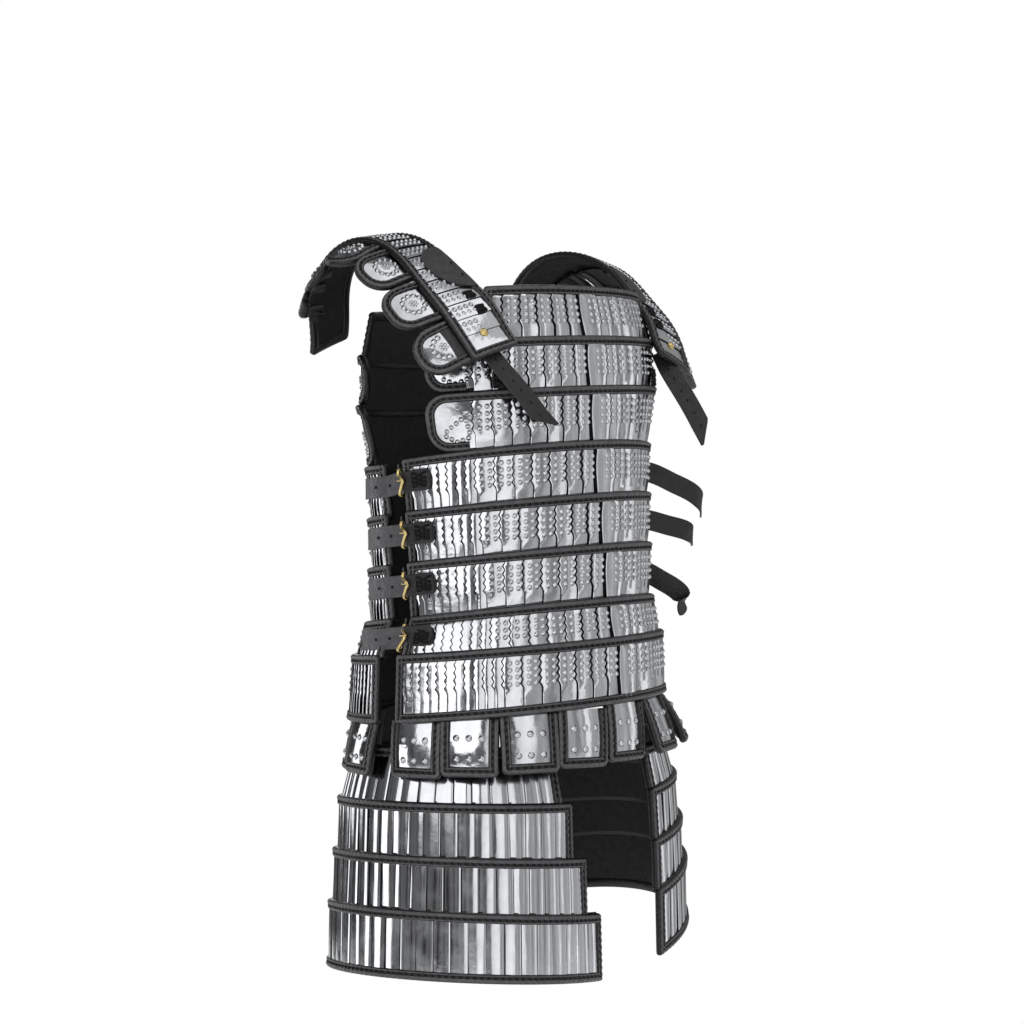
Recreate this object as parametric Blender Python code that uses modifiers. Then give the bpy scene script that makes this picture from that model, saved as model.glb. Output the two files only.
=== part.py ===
"""Lamellar armour in its worn, hollow form.

Breast and back panels of eight laced rows each, open at the sides and closed there by straps,
shoulder straps edged with rounded plates, square plates hanging from the waist row, and a
guard of four rows round each thigh. Metres, +Z up, the front faces -Y and +X is the wearer's
left. The origin lies between the shoulders, just under the straps that carry the weight.
"""

import math

import bpy
import numpy as np

# Driving dimensions
LACED_WALL = 0.003  # lamellae, lacing and leather backing together
STRAP_WALL = 0.004  # shoulder strap: plates on a leather band
PLATE_WALL = 0.0025  # a single bordered plate
LEATHER_WALL = 0.0025  # plain strap leather
CLEARANCE = 0.0008  # between pieces that lie on each other
EDGE_RISE = 0.006  # a row's top edge stands this far above the middle of its binding
TUCK = 0.012  # a row's lower edge runs this far below the next row's binding
COVERED_SHARE = 0.32  # how much of the next row's visible height that covered part spans
ROW_COLUMNS = 24
STRAP_WIDTH = 0.023
SCALLOP_REACH = 0.055
SCALLOP_UNDERLAP = 0.010  # under the shoulder strap
SCALLOP_CORNER = 0.026
TASSET_WIDTH = 0.064
TASSET_TUCK = 0.012  # behind the waist row
TASSET_CORNER = 0.006
GUARD_COLUMNS = 22


def table(columns, *rows):
    """Return the rows as dictionaries under the named columns."""
    names = columns.split()
    return [dict(zip(names, row)) for row in rows]


# Each row hangs in a tilted plane: its level on the body's axis, how much it rises towards the
# front and towards the wearer's left for each metre, and its turn to the left in degrees.
# Row 9 is the lower edge of row 8.
ROW_PLANES = table(
    "row level rise_front rise_left turn",
    (1, -0.059, 0.075, 0.030, 0),
    (2, -0.119, 0.060, 0.045, 0),
    (3, -0.180, 0.060, 0.050, 0),
    (4, -0.252, 0.090, 0.043, 0),
    (5, -0.316, 0.095, 0.045, 2),
    (6, -0.378, 0.097, 0.039, 3),
    (7, -0.443, 0.100, 0.037, 4),
    (8, -0.485, 0.065, 0.044, 5),
    (9, -0.552, 0.053, 0.053, 5),
)
# Outer size of each row at its top edge: half width, depth from the axis, the exponent that
# squares the section, the angle to its end from the middle, and the round of that end.
BREAST_ROWS = table(
    "row half_width depth square end corner",
    (1, 0.178, 0.130, 2.3, 48, 0.0),
    (2, 0.199, 0.148, 2.3, 74, 0.026),
    (3, 0.204, 0.157, 2.2, 73, 0.026),
    (4, 0.195, 0.163, 2.0, 86, 0.0),
    (5, 0.190, 0.168, 2.0, 88, 0.0),
    (6, 0.187, 0.172, 2.0, 89, 0.0),
    (7, 0.185, 0.176, 2.0, 89, 0.0),
    (8, 0.203, 0.186, 2.0, 92, 0.0),
    (9, 0.206, 0.190, 2.0, 92, 0.0),
)
BACK_ROWS = table(
    "row half_width depth square end corner",
    (1, 0.178, 0.138, 2.3, 50, 0.0),
    (2, 0.199, 0.145, 2.3, 70, 0.026),
    (3, 0.204, 0.149, 2.2, 70, 0.026),
    (4, 0.195, 0.150, 2.0, 79, 0.0),
    (5, 0.190, 0.152, 2.0, 79, 0.0),
    (6, 0.187, 0.155, 2.0, 79, 0.0),
    (7, 0.185, 0.162, 2.0, 79, 0.0),
    (8, 0.203, 0.180, 2.0, 78, 0.0),
    (9, 0.206, 0.188, 2.0, 78, 0.0),
)
# The shoulder strap's two edges on the wearer's left, from its front end over the shoulder.
STRAP_EDGES = table(
    "at neck_x neck_y neck_z arm_x arm_y arm_z",
    ("front end", 0.132, -0.140, -0.118, 0.199, -0.131, -0.140),
    ("chest", 0.143, -0.101, -0.060, 0.214, -0.091, -0.082),
    ("slope", 0.155, -0.040, -0.010, 0.215, -0.020, -0.015),
    ("crest", 0.154, -0.006, 0.012, 0.216, 0.020, 0.006),
    ("top", 0.150, 0.045, 0.018, 0.216, 0.058, 0.005),
    ("blade", 0.150, 0.096, 0.013, 0.215, 0.100, -0.010),
    ("back", 0.147, 0.132, -0.026, 0.212, 0.129, -0.050),
    ("back end", 0.138, 0.148, -0.100, 0.202, 0.140, -0.124),
)
STRAP_COLUMNS = 30
# Middles of the rounded plates along the strap's arm edge, from its front end, and how far
# each plate bends down past the strap.
SCALLOPS = table(
    "plate along width bend",
    (1, 0.026, 0.062, 30),
    (2, 0.094, 0.061, 24),
    (3, 0.162, 0.060, 16),
    (4, 0.230, 0.059, 34),
    (5, 0.298, 0.058, 44),
    (6, 0.366, 0.058, 40),
)
# The strap that hangs from under the front end of each shoulder strap: its middle line.
TONGUE_LINES = {
    "right": ((-0.164, -0.113, -0.115), (-0.160, -0.127, -0.136), (-0.138, -0.150, -0.174),
              (-0.105, -0.174, -0.222)),
    "left": ((0.166, -0.113, -0.115), (0.163, -0.127, -0.136), (0.177, -0.150, -0.180),
             (0.196, -0.168, -0.228)),
}
TONGUE_WIDTH = 0.024
# The side straps: each one's middle below the middle of its row's binding, its laps on both
# panels, and where its tail ends on the wearer's left, from where it leaves the panel.
SIDE_STRAPS = table(
    "row drop front_lap back_lap tail_x tail_y tail_z",
    (4, 0.022, 0.042, 0.060, 0.105, -0.030, -0.060),
    (5, 0.022, 0.042, 0.060, 0.108, -0.020, -0.030),
    (6, 0.022, 0.042, 0.060, 0.045, -0.062, -0.060),
    (7, 0.0185, 0.042, 0.060, 0.000, 0.000, 0.000),
)
# The square plates under the waist row: middle angle, flare outwards and lean, in degrees.
BREAST_TASSETS = table(
    "plate angle flare lean",
    (1, -84, 3, 0),
    (2, -63, 3, 0),
    (3, -42, 5, 2),
    (4, -21.5, 3, -0.5),
    (5, -1.5, 4, 0),
    (6, 19, 20, 0.5),
    (7, 41, 30, 0),
    (8, 63, 38, 0),
    (9, 84, 42, 0),
)
BACK_TASSETS = table(
    "plate angle flare lean",
    (1, -66, 12, 0),
    (2, -44, 10, 0),
    (3, -22, 10, 0),
    (4, 0, 12, 0),
    (5, 22, 14, 0),
    (6, 44, 26, 0),
    (7, 66, 40, 0),
)
TASSET_FOOT = {"level": -0.622, "rise_front": 0.030, "rise_left": 0.055}
# Thigh guards: round walls about a middle of their own. Each row has the level of its binding
# there, its rise towards the front and to the left, its radius and the angles of its two ends.
GUARD_MIDDLE = {"right": (-0.045, 0.020), "left": (0.080, 0.012)}
GUARD_ROWS = {
    "right": table(
        "row level rise_front rise_left radius front back",
        ("a", -0.607, 0.020, -0.020, 0.141, -3, -168),
        ("b", -0.676, 0.025, -0.050, 0.161, 2, -170),
        ("c", -0.744, 0.028, -0.075, 0.167, 9, -172),
        ("d", -0.812, 0.030, -0.095, 0.173, 18, -174),
        ("hem", -0.884, 0.035, -0.105, 0.175, 18, -174),
    ),
    "left": table(
        "row level rise_front rise_left radius front back",
        ("a", -0.622, 0.000, 0.100, 0.150, 6, 146),
        ("b", -0.676, 0.000, 0.140, 0.166, 5, 152),
        ("c", -0.744, 0.000, 0.200, 0.174, 4, 154),
        ("d", -0.812, 0.000, 0.280, 0.180, 4, 156),
        ("hem", -0.884, 0.000, 0.280, 0.182, 4, 156),
    ),
}

MATERIALS = {
    "polished_steel": ((0.78, 0.78, 0.79, 1.0), 0.16, 1.0),
    "black_leather": ((0.022, 0.021, 0.020, 1.0), 0.55, 0.0),
}


def clear_scene():
    for item in list(bpy.data.objects):
        bpy.data.objects.remove(item, do_unlink=True)


def make_material(name, finish):
    colour, roughness, metallic = MATERIALS[finish]
    material = bpy.data.materials.new(name)
    material.use_nodes = True
    shader = material.node_tree.nodes["Principled BSDF"]
    shader.inputs["Base Color"].default_value = colour
    shader.inputs["Roughness"].default_value = roughness
    shader.inputs["Metallic"].default_value = metallic
    return material


def add_wall(collection, name, grid, wall, outward, finish, keep=None):
    """Add the wall whose outer face runs through grid, an array of rows x columns x 3.

    outward points away from the hollow, once or for each quad: the wall's thickness is laid on
    the other side. keep marks the quads that are built, where not all of them are.
    """
    rows, columns, _ = grid.shape
    index = np.arange(rows * columns).reshape(rows, columns)
    quads = np.stack([index[:-1, :-1], index[:-1, 1:], index[1:, 1:], index[1:, :-1]], axis=-1)
    across = grid[:-1, 1:] - grid[:-1, :-1]
    down = grid[1:, :-1] - grid[:-1, :-1]
    facing = np.cross(down, across)
    if float((facing * outward).sum()) > 0:
        quads = quads[..., ::-1]
    quads = quads.reshape(-1, 4) if keep is None else quads[keep]
    mesh = bpy.data.meshes.new(name)
    mesh.from_pydata(grid.reshape(-1, 3).tolist(), [], quads.tolist())
    mesh.materials.append(make_material(name, finish))
    mesh.shade_smooth()
    piece = bpy.data.objects.new(name, mesh)
    collection.objects.link(piece)
    solid = piece.modifiers.new("wall", "SOLIDIFY")
    solid.thickness = wall
    solid.offset = -1.0
    solid.use_even_offset = True
    return piece


def spline_through(points, count):
    """Points of a smooth curve through the given ones, evenly spaced along it."""
    points = np.asarray(points, float)
    before = 2 * points[0] - points[1]
    after = 2 * points[-1] - points[-2]
    ends = np.vstack([before, points, after])
    t = np.linspace(0, 1, 24, endpoint=False)[:, None]
    runs = []
    for start in range(len(points) - 1):
        a, b, c, d = ends[start : start + 4]
        runs.append(
            0.5 * (2 * b + (c - a) * t + (2 * a - 5 * b + 4 * c - d) * t**2
                   + (3 * b - a - 3 * c + d) * t**3)
        )
    curve = np.vstack(runs + [points[-1:]])
    return resample(curve, count)


def resample(curve, count):
    lengths = np.concatenate([[0], np.cumsum(np.linalg.norm(np.diff(curve, axis=0), axis=1))])
    wanted = np.linspace(0, lengths[-1], count)
    return np.stack([np.interp(wanted, lengths, curve[:, k]) for k in range(3)], axis=1)


def unit(vectors):
    return vectors / np.linalg.norm(vectors, axis=-1, keepdims=True)


def plane_height(plane, x, y):
    return plane["level"] + plane["rise_left"] * x - plane["rise_front"] * y


def section_point(half_width, depth, square, angle, turn, side):
    """A squared oval's x and y; angle 0 is its middle, side -1 the front and +1 the back."""
    s, c = np.sin(np.radians(angle)), np.cos(np.radians(angle))
    x = half_width * np.sign(s) * np.abs(s) ** (2 / square)
    y = side * depth * np.sign(c) * np.abs(c) ** (2 / square)
    cos_t, sin_t = np.cos(np.radians(turn)), np.sin(np.radians(turn))
    return x * cos_t - y * sin_t, x * sin_t + y * cos_t


class Row:
    """One laced row of the breast or back: a curved wall between two tilted planes.

    A place on it is an angle and a fall: 0 at its top edge, 1 where the next row's top edge
    covers it, 2 at its foot. The last row has no covered part and ends at 1.
    """

    def __init__(self, sizes, index, side, below):
        self.plane, self.next_plane = ROW_PLANES[index], ROW_PLANES[index + 1]
        self.end, self.corner = sizes[index]["end"], sizes[index]["corner"]
        self.size = size_vector(sizes[index])
        self.next_size = size_vector(sizes[index + 1])
        self.side, self.below = side, below

    def lines(self, x, y):
        """Heights of the top edge, of the next row's top edge and of the foot."""
        top = plane_height(self.plane, x, y) + EDGE_RISE
        middle = plane_height(self.next_plane, x, y)
        if self.below is None:
            return top, middle - EDGE_RISE, middle - EDGE_RISE - TUCK
        return top, middle + EDGE_RISE + CLEARANCE, middle - TUCK

    def size_at(self, fall):
        """Half width, depth and squareness at a fall; the covered part follows the row below."""
        share = np.clip(fall, 0, 1)[..., None]
        if self.below is None:
            return self.size + (self.next_size - self.size) * share
        seat = self.next_size - np.array([1, 1, 0]) * (LACED_WALL + CLEARANCE)
        size = self.size + (seat - self.size) * share
        covered = np.clip(np.asarray(fall) - 1, 0, 1) * COVERED_SHARE
        return size + self.below.size_at(covered) - self.below.size

    def point(self, angle, fall, out=0.0):
        """The outer face at an angle and a fall, moved out."""
        size = self.size_at(fall)
        turn = self.plane["turn"]
        turn = turn + (self.next_plane["turn"] - turn) * np.clip(fall, 0, 1)
        x, y = section_point(size[..., 0] + out, size[..., 1] + out, size[..., 2], angle,
                             turn, self.side)
        top, seat, foot = self.lines(x, y)
        z = np.where(fall <= 1, top + (seat - top) * fall, seat + (foot - seat) * (fall - 1))
        return np.stack([x, y, z], axis=-1)

    def point_at_drop(self, angle, drop, out=0.0):
        """The outer face at a distance below the row's top edge, moved out."""
        edge = self.point(angle, np.zeros_like(angle), out)
        top, seat, foot = self.lines(edge[..., 0], edge[..., 1])
        visible, covered = top - seat, seat - foot
        fall = np.where(drop <= visible, drop / visible, 1 + (drop - visible) / covered)
        return self.point(angle, fall, out)

    def height(self, angle):
        edge = self.point(angle, np.zeros_like(angle))
        top, seat, foot = self.lines(edge[..., 0], edge[..., 1])
        return top - (seat if self.below is None else foot)

    def angles(self):
        """Angles of the columns, closer together where an end is rounded."""
        even = np.linspace(-self.end, self.end, ROW_COLUMNS + 1)
        if not self.corner:
            return even
        span = math.degrees(self.corner / self.size[1]) * 1.1
        turn = self.end - span * (1 - np.cos(np.linspace(0, math.pi / 2, 6)))
        inner = even[np.abs(even) < self.end - span * 1.15]
        return np.concatenate([-turn[::-1], inner, turn])

    def grid(self):
        """Lines of points from the top edge to the foot, drawn in at rounded ends."""
        angles = np.sort(self.angles())
        edge = self.point(angles, np.zeros_like(angles))
        run = np.concatenate([[0], np.cumsum(np.linalg.norm(np.diff(edge, axis=0), axis=1))])
        within = np.clip(self.corner - np.minimum(run, run[-1] - run), 0, self.corner)
        drop = self.corner - np.sqrt(np.maximum(self.corner**2 - within**2, 0))
        height = self.height(angles)
        top, seat, foot = self.lines(edge[:, 0], edge[:, 1])
        seat_drop = np.clip(top - seat, drop + 0.002, height - drop - 0.002)
        drops = np.stack([drop, seat_drop, height - drop])
        if self.below is None:
            drops = drops[::2]
        return self.point_at_drop(np.broadcast_to(angles, drops.shape), drops)


def size_vector(row):
    return np.array([row["half_width"], row["depth"], row["square"]])


def body_rows(sizes, side):
    """The rows of one panel from the neck down; each knows the row that covers its foot."""
    rows = []
    for index in reversed(range(len(sizes) - 1)):
        rows.insert(0, Row(sizes, index, side, rows[0] if rows else None))
    return rows


def add_body_rows(collection, rows, label):
    for number, row in enumerate(rows, 1):
        grid = row.grid()
        outward = grid[1:, 1:] * np.array([1, 1, 0])
        add_wall(collection, f"{label}_row_{number}", grid, LACED_WALL, outward,
                 "polished_steel")


def strap_edges(side):
    """Both edges of one shoulder strap, evenly spaced from its front end to its back end."""
    mirror = np.array([1 if side == "left" else -1, 1, 1])
    neck = [(row["neck_x"], row["neck_y"], row["neck_z"]) for row in STRAP_EDGES]
    arm = [(row["arm_x"], row["arm_y"], row["arm_z"]) for row in STRAP_EDGES]
    return [spline_through(edge, STRAP_COLUMNS + 1) * mirror for edge in (neck, arm)]


def strap_normals(neck, arm):
    along = unit(np.gradient(0.5 * (neck + arm), axis=0))
    normals = unit(np.cross(along, arm - neck))
    return normals * np.sign(normals[len(normals) // 2, 2])


def add_shoulder_strap(collection, side):
    neck, arm = strap_edges(side)
    normals = strap_normals(neck, arm)
    share = np.array([0.0, 0.5, 1.0])[:, None, None]
    crown = 0.0015 * 4 * share * (1 - share)
    grid = neck + (arm - neck) * share + normals * crown
    add_wall(collection, f"shoulder_strap_{side}", grid, STRAP_WALL, normals[:-1],
             "polished_steel")


def scallop_grid(side, plate):
    """A rounded plate that starts under the strap's arm edge and bends down past it."""
    neck, arm = strap_edges(side)
    normals = strap_normals(neck, arm)
    run = np.concatenate([[0], np.cumsum(np.linalg.norm(np.diff(arm, axis=0), axis=1))])
    length = SCALLOP_UNDERLAP + SCALLOP_REACH
    corner = SCALLOP_CORNER
    round_part = corner * np.sin(np.linspace(0, math.pi / 2, 5))
    reach = np.concatenate([np.linspace(0, length - corner, 4), length - corner + round_part[1:]])
    past = np.clip(reach - (length - corner), 0, corner)
    half = plate["width"] / 2 - (corner - np.sqrt(np.maximum(corner**2 - past**2, 0)))
    along = plate["along"] + half[:, None] * np.linspace(-1, 1, 5)

    def at(values):
        return np.stack([np.interp(along, run, values[:, k]) for k in range(3)], axis=-1)

    edge, up, out = at(arm), unit(at(normals)), unit(at(arm) - at(neck))
    # the plate's direction turns evenly down, so its line is an arc of a circle
    bend = math.radians(plate["bend"])
    turn = bend * (reach / length)[:, None, None]
    outwards = length / bend * np.sin(turn) - SCALLOP_UNDERLAP
    down = length / bend * (1 - np.cos(turn)) + STRAP_WALL + 2 * CLEARANCE
    return edge + outwards * out - down * up, up[1:, 1:]


def add_scallops(collection, side):
    for plate in SCALLOPS:
        grid, up = scallop_grid(side, plate)
        add_wall(collection, f"shoulder_plate_{side}_{plate['plate']}", grid, PLATE_WALL, up,
                 "polished_steel")


def band_grid(line, across, width, taper):
    """A flat band along line; across is its width's direction, taper its last part's share."""
    count = len(line)
    share = np.linspace(0, 1, count)
    narrow = np.clip((share - (1 - taper)) / taper, 0, 1) if taper else 0 * share
    half = width / 2 * (1 - 0.86 * narrow)
    return np.stack([line - across * half[:, None], line + across * half[:, None]])


def add_tongues(collection):
    for side, points in TONGUE_LINES.items():
        line = spline_through(points, 10)
        along = unit(np.gradient(line, axis=0))
        face = np.array([-0.35 if side == "right" else 0.45, -0.85, 0.25])
        across = unit(np.cross(along, face))
        add_wall(collection, f"shoulder_tongue_{side}",
                 band_grid(line, across, TONGUE_WIDTH, 0.25), LEATHER_WALL,
                 np.broadcast_to(face, (1, 9, 3)), "black_leather")


def lap_angles(row, lap, count):
    """Angles from a row's end inwards over a lap measured along the row."""
    return np.linspace(row.end - math.degrees(lap / row.size[0]), row.end + 0.5, count)


def add_side_straps(collection, breast, back):
    for strap in SIDE_STRAPS:
        front_row, back_row = breast[strap["row"] - 1], back[strap["row"] - 1]
        for side, sign in (("right", -1), ("left", 1)):
            edges = []
            for drop in (-STRAP_WIDTH / 2, STRAP_WIDTH / 2):
                below_edge = EDGE_RISE + strap["drop"] + drop
                out = LEATHER_WALL + CLEARANCE
                at_front = sign * lap_angles(front_row, strap["front_lap"], 5)
                at_back = sign * lap_angles(back_row, strap["back_lap"], 6)[::-1]
                front = front_row.point_at_drop(at_front, below_edge, out)
                behind = back_row.point_at_drop(at_back, below_edge, out)
                edges.append(np.vstack([front, behind]))
            grid = np.stack(edges)
            if side == "left" and strap["tail_x"]:
                grid = with_tail(grid, strap)
            outward = grid[1:, 1:] * np.array([1, 1, 0])
            add_wall(collection, f"side_strap_{side}_{strap['row']}", grid, LEATHER_WALL,
                     outward, "black_leather")


def with_tail(grid, strap):
    """Lead a strap's front end off the body, out to its pointed tail."""
    first = grid[:, 0]
    away = unit(np.array([0.75, -0.66, 0.0]))
    tip = np.array([strap["tail_x"], strap["tail_y"], strap["tail_z"]])
    middle = first.mean(axis=0)
    line = np.array([middle + away * 0.012, middle + away * 0.030 + tip * 0.25,
                     middle + away * 0.030 + tip * 0.65, middle + tip])
    line = spline_through(line, 8)
    width = np.linspace(1, 1, 8)
    width[-1] = 0.15
    half = (first[1] - first[0]) / 2
    tail = np.stack([line - half * width[:, None], line + half * width[:, None]])
    return np.concatenate([tail[:, ::-1], grid], axis=1)


def tasset_frame(row, angle):
    """Where a hanging plate starts behind the waist row, its width's way and its outward way."""
    half_width, depth, square = row.next_size
    inset = LACED_WALL + 2 * CLEARANCE
    spots = [
        section_point(half_width - inset, depth - inset, square, spot, row.plane["turn"],
                      row.side)
        for spot in (angle - 1, angle, angle + 1)
    ]
    before, here, after = (np.array([x, y, 0.0]) for x, y in spots)
    across = unit(after - before)
    out = unit(np.cross(across, [0, 0, 1.0]))
    if out @ here < 0:
        out = -out
    here[2] = plane_height(row.next_plane, here[0], here[1]) - EDGE_RISE + TASSET_TUCK
    return here, across, out


def tasset_grid(row, tasset, columns=3):
    start, across, out = tasset_frame(row, tasset["angle"])
    foot = plane_height(TASSET_FOOT, start[0], start[1])
    fall = start[2] - foot
    flare = math.radians(tasset["flare"])
    lean = math.radians(tasset["lean"])
    down = np.array([0, 0, -1.0]) * math.cos(flare) + out * math.sin(flare)
    down = down * math.cos(lean) + across * math.sin(lean)
    across = across * math.cos(lean) + np.array([0, 0, 1.0]) * math.sin(lean)
    share = np.linspace(-1, 1, columns)
    corner = TASSET_CORNER
    depths = np.array([0.0, TASSET_TUCK, fall - corner, fall])
    half = TASSET_WIDTH / 2 - np.array([0, 0, 0, corner])
    bow = -0.004 * share**2
    straight = np.where(depths <= TASSET_TUCK, 0.0, depths - TASSET_TUCK)
    hang = np.minimum(depths, TASSET_TUCK)
    middle = (start + hang[:, None] * np.array([0, 0, -1.0]) + straight[:, None] * down)
    grid = middle[:, None] + across * (half[:, None] * share)[..., None]
    return grid + out * bow[:, None], out


def add_breast_tassets(collection, waist_row):
    for tasset in BREAST_TASSETS:
        grid, out = tasset_grid(waist_row, tasset)
        add_wall(collection, f"breast_tasset_{tasset['plate']}", grid, PLATE_WALL, out,
                 "polished_steel")


def guard_point(side, radius, angle):
    """x and y on a thigh guard; angle 0 faces the front, plus turns to the wearer's left."""
    middle_x, middle_y = GUARD_MIDDLE[side]
    turn = np.radians(angle)
    return middle_x + radius * np.sin(turn), middle_y - radius * np.cos(turn)


def guard_radius(rows, index, fall):
    """A guard row's outer radius at a fall, counted as on the body rows."""
    row, below = rows[index], rows[index + 1]
    if index == len(rows) - 2:
        return row["radius"] + (below["radius"] - row["radius"]) * fall
    seat = below["radius"] - LACED_WALL - CLEARANCE
    radius = row["radius"] + (seat - row["radius"]) * min(fall, 1)
    covered = max(fall - 1, 0) * COVERED_SHARE
    return radius + guard_radius(rows, index + 1, covered) - below["radius"]


def guard_grid(side, index):
    """A guard row's outer face: it widens to just inside the next row and runs under it."""
    rows = GUARD_ROWS[side]
    row, below = rows[index], rows[index + 1]
    last = index == len(rows) - 2
    angles = np.linspace(row["front"], row["back"], GUARD_COLUMNS + 1)
    lines = []
    for fall in (0.0, 1.0) if last else (0.0, 1.0, 2.0):
        x, y = guard_point(side, guard_radius(rows, index, fall), angles)
        top = plane_height(row, x, y) + EDGE_RISE
        middle = plane_height(below, x, y)
        seat = middle - EDGE_RISE if last else middle + EDGE_RISE + CLEARANCE
        z = top + (seat - top) * fall if fall <= 1 else middle - TUCK
        lines.append(np.stack([x, y, z], axis=-1))
    return np.stack(lines)


def add_thigh_guards(collection):
    for side in GUARD_ROWS:
        middle = np.array([*GUARD_MIDDLE[side], 0.0])
        for index in range(4):
            grid = guard_grid(side, index)
            outward = (grid[1:, 1:] - middle) * np.array([1, 1, 0])
            add_wall(collection, f"thigh_guard_{side}_{GUARD_ROWS[side][index]['row']}", grid,
                     LACED_WALL, outward, "polished_steel")


def add_back_tassets(collection, waist_row):
    """The back's hanging plates as one wall: a band behind the waist row joins their tops."""
    grids = [tasset_grid(waist_row, tasset)[0] for tasset in BACK_TASSETS]
    grid = np.concatenate(grids, axis=1)
    columns = grids[0].shape[1]
    keep = np.ones((grid.shape[0] - 1, grid.shape[1] - 1), bool)
    keep[1:, columns - 1 :: columns] = False
    outward = grid[1:, 1:] * np.array([1, 1, 0])
    add_wall(collection, "back_tassets", grid, PLATE_WALL, outward, "polished_steel", keep)


def main():
    clear_scene()
    collection = bpy.data.collections.new("lamellar_armour")
    bpy.context.scene.collection.children.link(collection)
    breast = body_rows(BREAST_ROWS, -1)
    back = body_rows(BACK_ROWS, 1)
    add_body_rows(collection, breast, "breast")
    add_body_rows(collection, back, "back")
    for side in ("right", "left"):
        add_shoulder_strap(collection, side)
        add_scallops(collection, side)
    add_tongues(collection)
    add_side_straps(collection, breast, back)
    add_breast_tassets(collection, breast[7])
    add_back_tassets(collection, back[7])
    add_thigh_guards(collection)


main()
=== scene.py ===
import math

import bpy
import numpy as np
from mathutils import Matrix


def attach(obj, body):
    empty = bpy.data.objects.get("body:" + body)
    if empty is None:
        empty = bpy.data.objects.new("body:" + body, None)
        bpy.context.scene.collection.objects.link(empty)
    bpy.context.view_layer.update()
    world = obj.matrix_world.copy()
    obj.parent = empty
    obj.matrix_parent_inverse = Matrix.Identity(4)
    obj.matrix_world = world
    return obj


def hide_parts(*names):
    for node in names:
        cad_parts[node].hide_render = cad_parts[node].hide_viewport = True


# Lamellar armour: polished steel plates laced on black leather, as worn and hollow.
# Lengths are metres; mm and inMm turn workshop sizes into them.
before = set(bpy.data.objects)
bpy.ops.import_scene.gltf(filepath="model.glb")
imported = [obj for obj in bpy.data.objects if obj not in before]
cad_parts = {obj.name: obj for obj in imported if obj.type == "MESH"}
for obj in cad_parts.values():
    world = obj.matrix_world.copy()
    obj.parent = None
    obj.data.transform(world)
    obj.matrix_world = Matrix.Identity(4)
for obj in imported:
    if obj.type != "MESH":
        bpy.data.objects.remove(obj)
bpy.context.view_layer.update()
mm = 0.001
dice = np.random.default_rng(7)  # one seeded source for every small irregularity


def report(stage):
    print(f"[lamellar armour] {stage}")


def inMm(**lengths):
    # a piece's measures, each given in millimetres
    return {key: np.multiply(value, mm) for key, value in lengths.items()}


def linearColour(code):
    # sRGB hex to linear: c/12.92 below 0.04045, ((c + 0.055)/1.055)^2.4 above
    parts = np.array([int(code[i:i + 2], 16) for i in (1, 3, 5)]) / 255
    linear = np.where(parts <= 0.04045, parts / 12.92, ((parts + 0.055) / 1.055) ** 2.4)
    return (*linear.tolist(), 1.0)


def unit(vectors):
    return vectors / np.maximum(np.linalg.norm(vectors, axis=-1, keepdims=True), 1e-12)


def lengthAlong(line):
    # how far each point lies from the first one, along the line
    return np.concatenate([[0], np.cumsum(np.linalg.norm(np.diff(line, axis=0), axis=1))])


def lineAt(where, known, line):
    # a line given at the known places, read at others
    return np.stack([np.interp(where, known, column) for column in line.T], axis=-1)


def gridFaces(count, rows, columns, closeRows=False, closeColumns=False):
    # count grids of rows x columns points, stored one after another, as quads
    index = np.arange(count * rows * columns).reshape(count, rows, columns)
    if closeRows:
        index = np.concatenate([index, index[:, :1]], axis=1)
    if closeColumns:
        index = np.concatenate([index, index[:, :, :1]], axis=2)
    near, far = index[:, :-1], index[:, 1:]
    return np.stack([near[..., :-1], near[..., 1:], far[..., 1:], far[..., :-1]],
                    axis=-1).reshape(-1, 4)


def turnOut(points, faces, outward):
    # a face whose normal runs against its outward direction is turned round
    corners = points[faces]
    normal = np.cross(corners[:, 2] - corners[:, 0], corners[:, -1] - corners[:, 1])
    against = np.einsum("ij,ij->i", normal, outward[faces[:, 0]]) < 0
    return np.where(against[:, None], faces[:, ::-1], faces)


def closedOut(points, faceSets):
    # a closed shape whose volume comes out negative is turned the other way
    volume = sum(np.einsum("ij,ij->", points[faces[:, 0]],
                           np.cross(points[faces[:, k]], points[faces[:, k + 1]]))
                 for faces in faceSets for k in range(1, faces.shape[1] - 1))
    return faceSets if volume > 0 else [faces[:, ::-1] for faces in faceSets]


def sweep(points, closed=False):
    # rings of points, one for each station of a path, joined into a tube; an open tube ends in
    # fans to the middles of its end rings
    rows, columns = points.shape[:2]
    flat = points.reshape(-1, 3)
    sets = [gridFaces(1, rows, columns, closeRows=closed, closeColumns=True)]
    if not closed:
        ring, hub = np.arange(columns), rows * columns
        tail = ring + hub - columns
        flat = np.vstack([flat, points[0].mean(axis=0), points[-1].mean(axis=0)])
        sets.append(np.concatenate([
            np.stack([np.roll(ring, -1), ring, np.full(columns, hub)], axis=1),
            np.stack([tail, np.roll(tail, -1), np.full(columns, hub + 1)], axis=1)]))
    return flat, sets


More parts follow.
